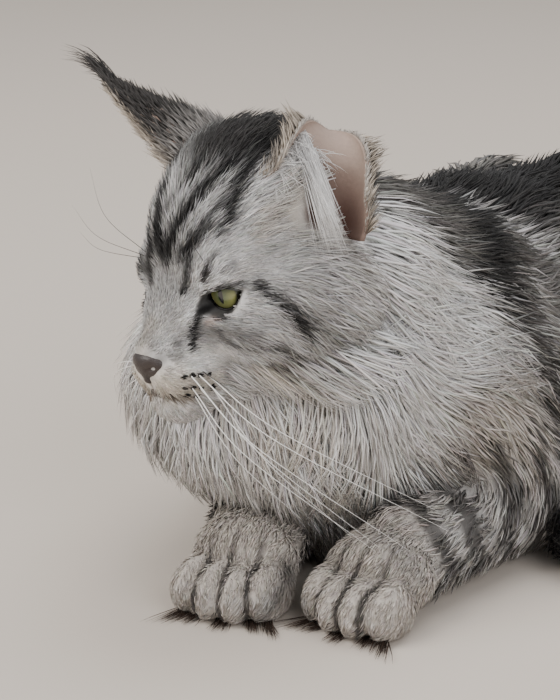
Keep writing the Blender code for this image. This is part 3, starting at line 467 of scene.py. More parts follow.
# Flesh of the head, in its own frame
CRANIUM = (
    Form((0.000, -0.042, 0.016), (0.034, 0.043, 0.038), coat=0.012, hair=0.017, lie=(0.0, -1.0, -0.1)),
    Form((0.000, -0.016, 0.013), (0.028, 0.026, 0.025), coat=0.006, hair=0.0105, lie=(0.0, -1.0, 0.35)),
    Form((0.000, -0.002, -0.014), (0.027, 0.026, 0.024), coat=0.003, hair=0.0062, lie=(0.0, -1.0, 0.0)),
)
PAIRED = (
    Form((0.025, -0.022, -0.016), (0.015, 0.028, 0.020), coat=0.010, hair=0.018, lie=LIE_CHEEK),
    Form((0.028, -0.040, -0.022), (0.016, 0.026, 0.024), coat=0.016, hair=0.036, lie=LIE_CHEEK),
    Form((0.0195, 0.000, 0.0105), (0.0105, 0.0085, 0.0050), coat=0.0022, hair=0.0060, lie=(0.45, -0.7, 0.5)),
    Form((0.0090, 0.0255, -0.0305), (0.0098, 0.0105, 0.0080), coat=0.0020, hair=0.0042,
         lie=(0.75, -0.6, -0.35)),
    Form((0.005, 0.012, -0.042), (0.0085, 0.011), end=(0.022, -0.028, -0.034), coat=0.004, hair=0.019,
         lie=(0.25, -0.62, -0.80)),
)
MUZZLE = (
    Form((0.000, 0.004, 0.000), (0.0095, 0.0080), end=(0.000, 0.0310, -0.0190), coat=0.0012, hair=0.0032,
         lie=(0.0, -0.85, 0.50)),
    Form((0.000, 0.018, -0.028), (0.0150, 0.0170, 0.0120), coat=0.0012, hair=0.0038, lie=(0.0, -1.0, -0.3)),
    Form((0.000, 0.0240, -0.0455), (0.0098, 0.0105, 0.0080), coat=0.005, hair=0.0120,
         lie=(0.0, -0.55, -0.85)),
)
LEATHER = (
    Form((0.0, 0.0350, -0.0230), (0.0092, 0.0060, 0.0064)),
    Form((0.0, 0.0366, -0.0232), (0.0060, 0.0026), end=(0.0, 0.0380, -0.0300)),
    Form((0.0, 0.0378, -0.0205), (0.0072, 0.0034, 0.0030)),
)

BODY_FLESH = Flesh(TORSO + NECK, 0.022)
LIDS = (
    Form(EYE_CENTRE, (EYE_RADIUS + 0.0012,) * 3, coat=0.0012, hair=0.0042, lie=(0.8, -0.5, -0.1)),
)
HEAD_FORMS = CRANIUM + PAIRED + LIDS + tuple(f.mirrored() for f in PAIRED + LIDS) + MUZZLE
HEAD_FLESH = Flesh(HEAD_FORMS, 0.010, 0.0055, HEAD_PLACE)
ARM_FLESH = {1.0: Flesh(LEFT_ARM, 0.012), -1.0: Flesh(RIGHT_ARM, 0.012)}
PAW_FLESH = {1.0: Flesh(LEFT_PAW, 0.0035, 0.003), -1.0: Flesh(RIGHT_PAW, 0.0035, 0.003)}
THIGH_FLESH = {1.0: Flesh(LEFT_THIGH, 0.020), -1.0: Flesh(RIGHT_THIGH, 0.020)}
FOOT_FLESH = {1.0: Flesh(LEFT_FOOT, 0.0035, 0.003), -1.0: Flesh(RIGHT_FOOT, 0.0035, 0.003)}
TAIL_FLESH_FIELD = Flesh(TAIL, 0.010)


# Markings of the coat
class Tone(Enum):
    """The colours of the hair."""

    BLACK = (0.012, 0.011, 0.011)
    SOOT = (0.045, 0.041, 0.039)
    GREY = (0.17, 0.16, 0.15)
    TICKED = (0.33, 0.31, 0.295)
    SILVER = (0.52, 0.505, 0.49)
    PALE = (0.74, 0.72, 0.70)
    WHITE = (0.90, 0.885, 0.87)
    CREAM = (0.80, 0.72, 0.61)
    SAND = (0.54, 0.490, 0.440)
    BEIGE = (0.50, 0.43, 0.355)
    BROWN = (0.13, 0.092, 0.068)
    PINK = (0.62, 0.49, 0.43)
    # Painted shade: the darkness in the opening of the ear canal
    CANAL_SHADE = (0.10, 0.045, 0.036)


@dataclass(frozen=True)
class Mark:
    """A streak or patch of one tone along a route, or round one point.

    half is its half width, soft the width of its edge, and strength how much it covers.
    """

    tone: Tone
    route: tuple
    half: float
    soft: float = 0.0025
    strength: float = 0.9
    mirror: bool = True

    def cover(self, points: np.ndarray) -> np.ndarray:
        """How much the mark covers each point, from 0 to 1."""
        nearest = self.distance(points)
        if self.mirror:
            nearest = np.minimum(nearest, self.distance(points * np.array((-1.0, 1.0, 1.0))))
        share = np.clip((self.half + self.soft - nearest) / (2 * self.soft), 0.0, 1.0)
        return self.strength * share * share * (3 - 2 * share)

    def distance(self, points: np.ndarray) -> np.ndarray:
        """Distance from the route."""
        ends = [np.array(p) for p in self.route]
        if len(ends) == 1:
            return np.linalg.norm(points - ends[0], axis=-1)
        nearest = np.full(len(points), 1e9)
        for start, end in zip(ends, ends[1:]):
            axis = end - start
            along = np.clip((points - start) @ axis / (axis @ axis), 0.0, 1.0)
            nearest = np.minimum(nearest, np.linalg.norm(points - start - along[:, None] * axis, axis=-1))
        return nearest


# On the head, in its own frame, from the broad tones to the fine lines
HEAD_MARKS = (
    Mark(Tone.SILVER, ((0.0, 0.004, 0.024), (0.0, -0.030, 0.052), (0.0, -0.075, 0.045)), 0.022, 0.010),
    Mark(Tone.TICKED, ((0.0, 0.014, 0.022), (0.0, 0.022, 0.008)), 0.013, 0.010, 0.55),
    Mark(Tone.TICKED, ((0.046, -0.010, 0.006), (0.050, -0.030, -0.008)), 0.010, 0.012, 0.35),
    Mark(Tone.TICKED, ((0.012, 0.026, -0.008), (0.024, 0.018, -0.018)), 0.006, 0.006, 0.45),
    Mark(Tone.BLACK, ((-0.006, -0.034, 0.062), (-0.004, -0.085, 0.040)), 0.022, 0.008, 0.92, False),
    Mark(Tone.SILVER, ((0.0, 0.018, 0.004), (0.0, 0.036, -0.012)), 0.009, 0.004, 0.8),
    Mark(Tone.BEIGE, ((0.0, 0.030, -0.008), (0.0, 0.038, -0.016)), 0.005, 0.004, 0.45),
    Mark(Tone.CREAM, ((0.036, -0.004, -0.040), (0.040, -0.018, -0.046)), 0.007, 0.005, 0.8),
    Mark(Tone.CREAM, ((0.010, 0.034, -0.034), (0.020, 0.022, -0.032)), 0.010, 0.005, 0.8),
    Mark(Tone.WHITE, ((0.018, 0.024, -0.026), (0.030, 0.012, -0.032)), 0.006, 0.004, 0.85),
    Mark(Tone.WHITE, ((0.0, 0.030, -0.050), (0.0, 0.020, -0.056)), 0.010, 0.006, 0.85),
    Mark(Tone.PALE, ((0.026, 0.010, 0.017), (0.022, 0.010, 0.026)), 0.0045, 0.003, 0.9),
    Mark(Tone.PINK, ((0.040, 0.004, 0.012), (0.044, -0.008, 0.014)), 0.005, 0.006, 0.45),
    Mark(Tone.PALE, ((0.0322, -0.0137, 0.0407), (0.0330, -0.0070, 0.0340)), 0.0040, 0.003, 0.85),
    Mark(Tone.GREY, ((0.023, 0.0173, -0.012), (0.0312, 0.0139, -0.0155), (0.0392, 0.0074, -0.0176)),
         0.0042, 0.004, 0.75),
    Mark(Tone.SILVER, ((0.0300, 0.0139, -0.0095), (0.0400, 0.0074, -0.0110), (0.0460, -0.0020, -0.0120)),
         0.0022, 0.002, 0.65),
    Mark(Tone.GREY, ((0.0500, -0.0160, -0.0160), (0.0541, -0.0297, -0.0341), (0.0432, -0.0471, -0.0542)),
         0.0060, 0.006, 0.60),
    Mark(Tone.BEIGE, ((0.0398, -0.0199, 0.0308), (0.0393, -0.0148, 0.0250)), 0.0050, 0.005, 0.7),
    Mark(Tone.BROWN, ((0.0491, -0.0569, -0.0022), (0.0489, -0.0514, 0.0025)), 0.0050, 0.005, 0.6),
    Mark(Tone.SOOT, ((-0.004, -0.020, 0.058), (-0.010, -0.050, 0.064)), 0.017, 0.010, 0.75, False),
    Mark(Tone.BLACK, ((-0.0011, 0.0168, 0.0188), (-0.0077, 0.0107, 0.0339), (-0.0122, 0.0024, 0.0432),
                      (-0.0174, -0.0083, 0.0507), (-0.0214, -0.0239, 0.0571), (-0.0214, -0.0415, 0.0603)),
         0.0040, 0.0022, 0.97),
    Mark(Tone.BLACK, ((-0.0094, 0.0157, 0.0186), (-0.0179, 0.0089, 0.0299), (-0.0228, 0.0002, 0.0381),
                      (-0.0241, -0.0082, 0.0455), (-0.0269, -0.0205, 0.0516), (-0.0272, -0.0350, 0.0558)),
         0.0026, 0.0016, 0.96),
    Mark(Tone.BLACK, ((0.0142, 0.0147, 0.0174), (0.0044, 0.0146, 0.0269), (0.0030, 0.0094, 0.0372),
                      (-0.0011, 0.0037, 0.0447), (-0.0044, -0.0028, 0.0507), (-0.0044, -0.0300, 0.0590)),
         0.0026, 0.0020, 0.92, False),
    Mark(Tone.BLACK, ((0.0295, -0.0036, 0.0338), (0.0273, -0.0053, 0.0392), (0.0282, -0.0107, 0.0434),
                      (0.0273, -0.0169, 0.0491), (0.0272, -0.0271, 0.0540)), 0.0044, 0.0022, 0.97),
    Mark(Tone.BLACK, ((0.0287, 0.0014, 0.0275), (0.0247, 0.0023, 0.0328), (0.0212, 0.0070, 0.0295),
                      (0.0160, 0.0123, 0.0238), (0.0139, 0.0152, 0.0150), (0.0121, 0.0178, 0.0060)),
         0.0026, 0.0014, 0.96),
    Mark(Tone.SOOT, ((0.0261, 0.0071, 0.0213), (0.0247, 0.0103, 0.0171), (0.0230, 0.0130, 0.0098)),
         0.0021, 0.0011, 0.96),
    Mark(Tone.SOOT, ((0.0315, 0.0063, 0.0134), (0.0340, 0.0012, 0.0154)), 0.0016, 0.0024, 0.65),
    Mark(Tone.BLACK, ((0.0403, -0.0047, 0.0030), (0.0447, -0.0078, -0.0021), (0.0483, -0.0102, -0.0081),
                      (0.0503, -0.0120, -0.0145), (0.0514, -0.0145, -0.0234)), 0.0031, 0.0024, 0.96),
    Mark(Tone.SOOT, ((0.0281, 0.0159, -0.0129), (0.0300, 0.0144, -0.0203), (0.0339, 0.0105, -0.0244),
                     (0.0387, 0.0057, -0.0253), (0.0426, 0.0010, -0.0248)), 0.0013, 0.0011, 0.92),
    Mark(Tone.SOOT, ((0.0426, 0.0010, -0.0248), (0.0445, -0.0036, -0.0286), (0.0444, -0.0076, -0.0343),
                     (0.0430, -0.0149, -0.0433), (0.0352, -0.0285, -0.0580)), 0.0028, 0.0028, 0.88),
    Mark(Tone.SOOT, ((0.0134, 0.0282, -0.0157),), 0.0016, 0.0018, 0.8),
    Mark(Tone.SOOT, ((0.0100, 0.0370, -0.0190), (0.0145, 0.0300, -0.0200)), 0.0022, 0.0022, 0.55),
    Mark(Tone.SOOT, ((0.0150, 0.0160, 0.0130), (0.0233, 0.0130, 0.0081), (0.0330, 0.0080, -0.0040),
                     (0.0300, 0.0140, -0.0150)), 0.0060, 0.0040, 0.85, False),
    Mark(Tone.WHITE, ((0.0207, 0.0141, 0.0070), (0.0172, 0.0182, -0.0010), (0.0150, 0.0221, -0.0066)),
         0.0020, 0.0018, 0.95),
    Mark(Tone.PINK, ((0.0262, 0.0145, -0.0070), (0.0240, 0.0170, -0.0085)), 0.0016, 0.0016, 0.8),
    Mark(Tone.BLACK, ((0.0242, 0.0133, -0.0010), (0.0206, 0.0169, -0.0042), (0.0184, 0.0204, -0.0094),
                      (0.0176, 0.0218, -0.0134), (0.0182, 0.0234, -0.0186)), 0.0021, 0.0013, 0.97),
    Mark(Tone.BLACK, ((0.0246, 0.0132, -0.0002), (0.0208, 0.0164, -0.0028)), 0.0028, 0.0016, 0.96),
    Mark(Tone.SOOT, ((0.0240, 0.0140, 0.0025), (0.0265, 0.0130, 0.0052), (0.0315, 0.0085, 0.0070),
                     (0.0370, 0.0010, 0.0060)), 0.0009, 0.0010, 0.88),
    Mark(Tone.SOOT, ((0.0225, 0.0150, -0.0030), (0.0290, 0.0125, -0.0075), (0.0345, 0.0065, -0.0060)),
         0.0005, 0.0009, 0.75),
    Mark(Tone.BEIGE, ((-0.0385, -0.0330, 0.0235), (-0.0360, -0.0400, 0.0350)), 0.0085, 0.006, 0.72, False),
    # Painted shade: the dark opening of the ear canal beside the left ear's base, laid on the head's coat
    Mark(Tone.CANAL_SHADE, ((-0.0450, -0.0480, 0.0215), (-0.0500, -0.0540, 0.0150)), 0.0070, 0.0035, 0.92, False),
    Mark(Tone.BROWN, ((0.0, 0.0380, -0.0380), (0.0125, 0.0350, -0.0415), (0.0180, 0.0250, -0.0440),
                      (0.0215, 0.0120, -0.0420)), 0.0014, 0.0012, 0.92),
    Mark(Tone.BROWN, ((0.0, 0.0400, -0.0270), (0.0, 0.0390, -0.0370)), 0.0007, 0.0008, 0.85),
    Mark(Tone.SOOT, ((0.0, 0.0375, -0.0235), (0.0075, 0.0335, -0.0235)), 0.0044, 0.0014, 0.92),
)
SPOT_ROWS = (
    ((0.0188, 0.0326, -0.0289), (0.0205, 0.0293, -0.0296), (0.0212, 0.0255, -0.0307),
     (0.0210, 0.0206, -0.0329)),
    ((0.0177, 0.0329, -0.0344), (0.0189, 0.0294, -0.0358), (0.0191, 0.0253, -0.0377),
     (0.0191, 0.0188, -0.0401)),
    ((0.0161, 0.0317, -0.0388), (0.0172, 0.0278, -0.0409)),
)
SPOT_MARKS = tuple(Mark(Tone.BLACK, (spot,), 0.0008, 0.0005, 0.95) for row in SPOT_ROWS for spot in row)

# On the body, in the room's frame
BODY_MARKS = (
    Mark(Tone.BLACK, ((0.0, 0.070, 0.175), (0.0, 0.150, 0.165), (0.0, 0.300, 0.150)), 0.050, 0.016, 0.95),
    Mark(Tone.SOOT, ((0.070, 0.060, 0.060), (0.085, 0.140, 0.060), (0.085, 0.250, 0.060)),
         0.042, 0.020, 0.75),
    Mark(Tone.BLACK, ((0.035, 0.040, 0.170), (0.0629, 0.0139, 0.1555), (0.0733, 0.0076, 0.1376),
                      (0.0814, 0.0103, 0.1170), (0.0899, 0.0335, 0.0797), (0.094, 0.060, 0.050)),
         0.015, 0.008, 0.95),
    Mark(Tone.BLACK, ((0.085, 0.060, 0.090), (0.092, 0.100, 0.060), (0.092, 0.060, 0.040)),
         0.020, 0.010, 0.9),
    Mark(Tone.SILVER, ((0.0216, 0.0805, 0.1684), (0.0381, 0.0831, 0.1620), (0.0600, 0.1000, 0.1440)),
         0.010, 0.007),
    Mark(Tone.SILVER, ((0.0760, 0.0437, 0.1414), (0.0860, 0.0469, 0.1161), (0.0930, 0.0628, 0.0859)),
         0.010, 0.008),
    Mark(Tone.SILVER, ((0.075, 0.125, 0.125), (0.094, 0.150, 0.070), (0.092, 0.215, 0.060),
                       (0.080, 0.235, 0.115), (0.072, 0.180, 0.135), (0.075, 0.125, 0.125)),
         0.007, 0.006, 0.85),
    Mark(Tone.SILVER, ((0.060, 0.290, 0.130), (0.085, 0.305, 0.090), (0.090, 0.300, 0.050)),
         0.007, 0.006, 0.8),
    Mark(Tone.SILVER, ((0.070, 0.325, 0.110), (0.080, 0.335, 0.070)), 0.006, 0.006, 0.7),
)

# On the ruff and bib, in the room's frame
NECK_MARKS = (
    Mark(Tone.WHITE, ((0.030, -0.085, 0.110), (0.045, -0.060, 0.085), (-0.020, -0.095, 0.080)),
         0.020, 0.012, 0.8, False),
    Mark(Tone.GREY, ((-0.060, -0.060, 0.060), (-0.058, -0.075, 0.085)), 0.016, 0.012, 0.75, False),
    Mark(Tone.CREAM, ((0.010, -0.100, 0.095), (0.040, -0.085, 0.110)), 0.010, 0.010, 0.45, False),
    Mark(Tone.BEIGE, ((0.030, -0.080, 0.066), (0.050, -0.060, 0.070)), 0.007, 0.006, 0.45, False),
    Mark(Tone.SOOT, ((0.055, -0.040, 0.055), (0.080, -0.010, 0.070)), 0.008, 0.008, 0.75, False),
    Mark(Tone.GREY, ((0.070, -0.010, 0.090), (0.060, 0.010, 0.130)), 0.008, 0.010, 0.55, False),
    Mark(Tone.TICKED, ((0.0, -0.050, 0.215), (0.020, -0.010, 0.195), (0.040, 0.010, 0.180)),
         0.014, 0.012, 0.7),
)


def leg_marks() -> tuple:
    """The tones of the forelegs, the pale toes and the dark edge under them, in the room's frame."""
    marks = [
        Mark(Tone.SILVER, ((0.078, -0.040, 0.030), (0.085, 0.030, 0.030)), 0.024, 0.012, 0.7),
        Mark(Tone.TICKED, ((0.060, -0.075, 0.045), (0.080, -0.080, 0.030)), 0.007, 0.008, 0.6, False),
        Mark(Tone.SOOT, ((0.034, -0.105, 0.010), (0.030, -0.080, 0.020)), 0.005, 0.006, 0.75, False),
        Mark(Tone.SOOT, ((0.022, -0.120, 0.010), (0.018, -0.095, 0.022)), 0.006, 0.006, 0.75, False),
    ]
    for _, _, *toes in (LEFT_PAW, RIGHT_PAW):
        for toe in toes:
            centre = Vector(toe.start)
            front = centre + Vector((toe.lie[0], toe.lie[1], 0.0)).normalized() * 0.010
            top = centre + Vector((0.0, 0.0, 0.006))
            marks.append(Mark(Tone.PALE, (tuple(top), tuple(front)), 0.005, 0.004, 0.70, False))
        low = tuple(tuple(Vector(toe.start) - Vector((0.0, 0.0, 0.008))) for toe in (toes[0], toes[3]))
        marks.append(Mark(Tone.SOOT, low, 0.0045, 0.005, 0.7, False))
    return tuple(marks)


LEG_MARKS = leg_marks()

# Where the grey rings lie along the tail, and where dark bars cross each foreleg, from its elbow to its wrist
TAIL_RINGS = (0.19, 0.31, 0.43, 0.55)
BAR_PLACES = (-0.30, -0.05, 0.20, 0.45, 0.70, 0.94)


def laid(colours: np.ndarray, tone: Tone, cover: np.ndarray) -> np.ndarray:
    """Colours with a tone laid over them.

    Args:
        colours: linear red, green and blue for each point.
        tone: what is laid over them.
        cover: how much it covers each point, from 0 to 1.

    Returns:
        The new colours.
    """
    share = cover[:, None]
    return colours * (1 - share) + np.array(tone.value) * share


def painted(points: np.ndarray, base: Tone, marks: tuple) -> np.ndarray:
    """A base tone with its marks laid over it in turn."""
    made = np.tile(np.array(base.value), (len(points), 1))
    for mark in marks:
        made = laid(made, mark.tone, mark.cover(points))
    return made


@dataclass(frozen=True)
class Pelt:
    """The colours of the whole coat, as one function of the place.

    Lengths are in metres, waves in radians a metre and covers from 0 to 1. A bar's half and fade are shares
    of the way from elbow to wrist, and a ring's half is a share of the whole tail.
    """

    part_softness: float = 0.003
    ruff_end: float = 0.072
    ruff_fade: float = 0.016
    mottle_waves: tuple = (520.0, 150.0, 430.0)
    mottle_middle: float = 0.93
    mottle_swing: float = 0.11
    bar_half: float = 0.085
    bar_fade: float = 0.045
    bar_waves: tuple = (210.0, 170.0)
    bar_swing: float = 0.05
    bar_reach: float = 0.05
    bar_cover: float = 0.80
    lid_edge: float = 0.0025
    lid_fade: float = 0.0013
    lid_front: float = 0.002
    lid_reach: float = 0.020
    line_half: float = 0.0023
    line_fade: float = 0.0014
    line_swing: float = 0.0008
    line_cover: float = 0.88
    paw_half: float = 0.035
    paw_top: float = 0.06
    ring_half: float = 0.022
    ring_cover: float = 0.7

    def colour(self, points: np.ndarray) -> np.ndarray:
        """The hair's colour at each point.

        Args:
            points: places in the room.

        Returns:
            Linear red, green and blue for each point.
        """
        on_head = HEAD_FLESH.local(self.on_coat(points, HEAD_FLESH))
        head = painted(on_head, Tone.PALE, HEAD_MARKS + SPOT_MARKS) * self.mottle(HEAD_FLESH.local(points))
        trunk = painted(self.on_coat(points, BODY_FLESH), Tone.GREY, BODY_MARKS)
        place = points[:, 1] + RUFF_LEAN * points[:, 2]
        behind = np.clip((place - self.ruff_end) / self.ruff_fade, 0.0, 1.0)[:, None]
        parts = (
            self.lidded(points, head),
            painted(points, Tone.WHITE, NECK_MARKS) * (1 - behind) + trunk * behind,
            self.toed(points, self.barred(points, painted(points, Tone.SAND, LEG_MARKS))),
            painted(points, Tone.GREY, BODY_MARKS),
            self.tail(points),
        )
        shares = self.nearness(points)
        return sum(shares[:, i, None] * part for i, part in enumerate(parts))

    def mottle(self, points: np.ndarray) -> np.ndarray:
        """How light the head's coat is from place to place, in streaks that run back from the face."""
        x, y, z = (points * np.array(self.mottle_waves)).T
        blotch = np.sin(x + 1.7 * np.sin(y * 0.9)) * np.sin(z + 1.3 * np.sin(x * 0.6))
        wave = blotch + 0.5 * np.sin(x * 1.9 + z * 1.3)
        return (self.mottle_middle + self.mottle_swing * wave)[:, None]

    def on_coat(self, points: np.ndarray, flesh: Flesh) -> np.ndarray:
        """The points moved straight in or out to the level at which the marks were laid."""
        return points - flesh.outward(points) * flesh.depth(points, MARK_SHARE)[:, None]

    def nearness(self, points: np.ndarray) -> np.ndarray:
        """How much of the head, body, forelegs, hind legs and tail each point belongs to."""
        fore = [(flesh, 0.7) for flesh in ARM_FLESH.values()] + [(flesh, 0.9) for flesh in PAW_FLESH.values()]
        hind = [(flesh, 0.6) for flesh in (*THIGH_FLESH.values(), *FOOT_FLESH.values())]
        groups = ([(HEAD_FLESH, 0.6)], [(BODY_FLESH, 0.6)], fore, hind, [(TAIL_FLESH_FIELD, 0.6)])
        nearest = [np.min([flesh.depth(points, share) for flesh, share in group], axis=0) for group in groups]
        return soft_shares(np.stack(nearest, axis=-1), self.part_softness)

    def barred(self, points: np.ndarray, colours: np.ndarray) -> np.ndarray:
        """The forelegs' colours with dark bars laid across them."""
        for _, shank in (LEFT_ARM, RIGHT_ARM):
            elbow, wrist = np.array(shank.start), np.array(shank.end)
            axis = wrist - elbow
            along = (points - elbow) @ axis / (axis @ axis)
            aside = np.linalg.norm(points - elbow - along[:, None] * axis, axis=1)
            sweep = points[:, 0] * self.bar_waves[0] + points[:, 2] * self.bar_waves[1]
            along = along + self.bar_swing * np.sin(sweep)
            cover = np.zeros(len(points))
            for place in BAR_PLACES:
                bar = np.clip((self.bar_half - np.abs(along - place)) / self.bar_fade, 0.0, 1.0)
                cover = np.maximum(cover, bar)
            colours = laid(colours, Tone.SOOT, cover * self.bar_cover * (aside < self.bar_reach))
        return colours

    def lidded(self, points: np.ndarray, colours: np.ndarray) -> np.ndarray:
        """The head's colours with a dark edge round the lids."""
        for side in Side:
            eye = eye_local(points, side)
            near = np.clip((self.lid_edge - lid_distance(eye, 0.0)) / self.lid_fade, 0.0, 1.0)
            at_eye = (eye[:, 1] > self.lid_front) * (np.linalg.norm(eye, axis=1) < self.lid_reach)
            colours = laid(colours, Tone.BLACK, near * self.line_cover * at_eye)
        return colours

    def toed(self, points: np.ndarray, colours: np.ndarray) -> np.ndarray:
        """The forelegs' colours with dark lines between the toes, which fade over the back of the paw."""
        for back, _, *paw in (LEFT_PAW, RIGHT_PAW):
            wrist, toes = np.array(back.start), [np.array(toe.start) for toe in paw]
            across = (toes[-1] - toes[0]) / np.linalg.norm(toes[-1] - toes[0])
            ahead = np.array((across[1], -across[0], 0.0))
            ahead = ahead * np.sign(ahead @ (toes[1] - wrist))
            offset = points - wrist
            aside, onward, reach = offset @ across, offset @ ahead, (toes[1] - wrist) @ ahead
            line = np.zeros(len(points))
            for first, second in zip(toes, toes[1:]):
                gap = ((first + second) / 2 - wrist) @ across
                wander = self.line_swing * np.sin(onward * 260.0 + gap * 900.0)
                near = (self.line_half - np.abs(aside - gap - wander)) / self.line_fade
                line = np.maximum(line, np.clip(near, 0.0, 1.0))
            fade = np.clip((onward - reach * 0.30) / (reach * 0.60), 0.0, 1.0) ** 1.5
            fade = fade * (onward < reach + 0.03)
            on_paw = (np.abs(aside) < self.paw_half) * (points[:, 2] < self.paw_top)
            colours = laid(colours, Tone.SOOT, line * fade * self.line_cover * on_paw)
        return colours

    def tail(self, points: np.ndarray) -> np.ndarray:
        """The tail's dark coat with its grey rings."""
        made = painted(points, Tone.BLACK, ())
        route = np.array([tuple(p) for p in smooth_route(TAIL_ROUTE, 4)])
        apart = np.linalg.norm(points[:, None, :] - route[None], axis=-1)
        nearest = apart.argmin(axis=1) / (len(route) - 1.0)
        for ring in TAIL_RINGS:
            cover = np.clip(1.6 - np.abs(nearest - ring) / self.ring_half, 0.0, 1.0) * self.ring_cover
            made = laid(made, Tone.TICKED, cover)
        return made


PELT = Pelt()


# Materials
class Value:
    """A socket of a material whose arithmetic adds Math nodes."""

    def __init__(self, tree: NodeTree, socket: NodeSocket) -> None:
        """Wraps a socket of a tree."""
        self.tree, self.socket = tree, socket

    def maths(self, operation: str, first: "Value | float", second: "Value | float") -> "Value":
        """A Math node.

        Args:
            operation: the node's operation.
            first: its first value or number.
            second: its second one.

        Returns:
            The node's result.
        """
        node = self.tree.nodes.new("ShaderNodeMath")
        node.operation = operation
        for slot, given in zip(node.inputs, (first, second)):
            if isinstance(given, Value):
                self.tree.links.new(given.socket, slot)
            else:
                slot.default_value = float(given)
        return Value(self.tree, node.outputs[0])

    def __add__(self, other: object) -> "Value":
        """The sum."""
        return self.maths("ADD", self, other)

    def __radd__(self, other: object) -> "Value":
        """The sum, from the right."""
        return self.maths("ADD", other, self)

    def __sub__(self, other: object) -> "Value":
        """The difference."""
        return self.maths("SUBTRACT", self, other)

    def __rsub__(self, other: object) -> "Value":
        """The difference, from the right."""
        return self.maths("SUBTRACT", other, self)

    def __mul__(self, other: object) -> "Value":
        """The product."""
        return self.maths("MULTIPLY", self, other)

    def __rmul__(self, other: object) -> "Value":
        """The product, from the right."""
        return self.maths("MULTIPLY", other, self)

    def __truediv__(self, other: object) -> "Value":
        """The quotient."""
        return self.maths("DIVIDE", self, other)

    def __pow__(self, other: object) -> "Value":
        """The power."""
        return self.maths("POWER", self, other)

    def held(self) -> "Value":
        """The value held between 0 and 1."""
        made = self.maths("ADD", self, 0.0)
        made.socket.node.use_clamp = True
        return made


class Shader:
    """A material under construction."""

    def __init__(self, name: str) -> None:
        """Starts a material with one Principled shader."""
        self.material = bpy.data.materials.new(name)
        self.material.use_nodes = True
        self.tree = self.material.node_tree
        self.principled = self.tree.nodes["Principled BSDF"]

    def node(self, kind: str, settings: dict | None = None, inputs: dict | None = None) -> Node:
        """Adds a node.

        Args:
            kind: the node's type.
            settings: what is set on the node itself, first.
            inputs: the values or links of its sockets, by name or number.

        Returns:
            The new node.
        """
        made = self.tree.nodes.new(kind)
        for name, value in (settings or {}).items():
            setattr(made, name, value)
        for name, value in (inputs or {}).items():
            self.feed(made.inputs[name], value)
        return made

    def feed(self, socket: NodeSocket, value: object) -> None:
        """Links a value or a socket to this one, or sets its number."""
        if isinstance(value, Value):
            value = value.socket
        if isinstance(value, NodeSocket):
            self.tree.links.new(value, socket)
        else:
            socket.default_value = value

    def value(self, socket: NodeSocket) -> Value:
        """The socket as a value to calculate with."""
        return Value(self.tree, socket)

    def attribute(self, name: str) -> Node:
        """An attribute of the mesh."""
        return self.node("ShaderNodeAttribute", {"attribute_name": name})

    def mixed(self, factor: object, first: object, second: object,
              blend: str = "MIX") -> NodeSocket:
        """Two colours mixed.

        Args:
            factor: the share of the second.
            first: a colour or a socket.
            second: a colour or a socket.
            blend: how they mix.

        Returns:
            The socket of the mixed colour.
        """
        made = self.node("ShaderNodeMix", {"data_type": "RGBA", "blend_type": blend})
        self.feed(made.inputs["Factor"], factor)
        for slot, given in ((made.inputs[6], first), (made.inputs[7], second)):
            self.feed(slot, (*given, 1.0) if isinstance(given, tuple) and len(given) == 3 else given)
        return made.outputs[2]

    def darkened(self, colour: NodeSocket, light: Value) -> NodeSocket:
        """A colour times a lightness from 0 to 1."""
        grey = self.node("ShaderNodeCombineColor")
        for slot in grey.inputs:
            self.feed(slot, light)
        return self.mixed(1.0, colour, grey.outputs[0], "MULTIPLY")

    def place_of(self, *parts: Value) -> NodeSocket:
        """A vector from its first parts, the rest being zero."""
        made = self.node("ShaderNodeCombineXYZ")
        for slot, part in zip(made.inputs, parts):
            self.feed(slot, part)
        return made.outputs[0]

    def parts_of(self, name: str) -> list[Value]:
        """The three parts of a vector attribute."""
        source = self.attribute(name).outputs["Vector"]
        made = self.node("ShaderNodeSeparateXYZ", inputs={0: source})
        return [self.value(made.outputs[i]) for i in range(3)]

    def noise(self, scale: float, detail: float = 3.0, vector: object = None) -> Value:
        """Noise on the object's own coordinates, or on a vector."""
        if vector is None:
            vector = self.node("ShaderNodeTexCoord").outputs["Object"]
        made = self.node("ShaderNodeTexNoise", inputs={"Vector": vector, "Scale": scale, "Detail": detail})
        return self.value(made.outputs["Fac"])

    def bump(self, height: Value, strength: float, distance: float) -> None:
        """Raises the surface by a height."""
        inputs = {"Height": height, "Strength": strength, "Distance": distance}
        made = self.node("ShaderNodeBump", inputs=inputs)
        self.feed(self.principled.inputs["Normal"], made.outputs["Normal"])

    def set(self, **sockets: object) -> None:
        """Sets or links sockets of the Principled shader, with _ for a space."""
        for name, value in sockets.items():
            if isinstance(value, tuple) and len(value) == 3:
                value = (*value, 1.0)
            self.feed(self.principled.inputs[name.replace("_", " ")], value)


@dataclass(frozen=True)
class HairFinish:
    """Hair in tufts: the pelt's colours, with streaks along each tuft, darker towards the root, partly for
    the greyer underwool and partly as painted shade deep in the coat.
    """

    name: str
    sheen: float = 0.02
    streak: float = 0.34

    def make(self) -> Material:
        """Builds the material."""
        shader = Shader(self.name)
        colour = shader.attribute("coat_colour").outputs["Color"]
        across, along, chance = shader.parts_of("strand")
        place = shader.place_of(across * 2.6 + chance * 37.0, along * 0.9, chance * 91.0)
        streak = shader.noise(2.4, 3.0, place)
        light = (1.0 - self.streak * 0.3 + (streak - 0.5) * self.streak * 2.2).held()
        # Darker towards the root: partly the greyer underwool, partly painted shade deep in the coat
        rise = 0.84 + along * 0.30
        shader.set(Base_Color=shader.darkened(colour, (light * rise).held()))
        shader.set(Roughness=(0.50 + (streak - 0.5) * 0.3).held(), Specular_IOR_Level=0.14)
        shader.set(Sheen_Weight=self.sheen, Sheen_Roughness=0.4)
        shader.bump(streak, 0.35, 0.0003)
        return shader.material


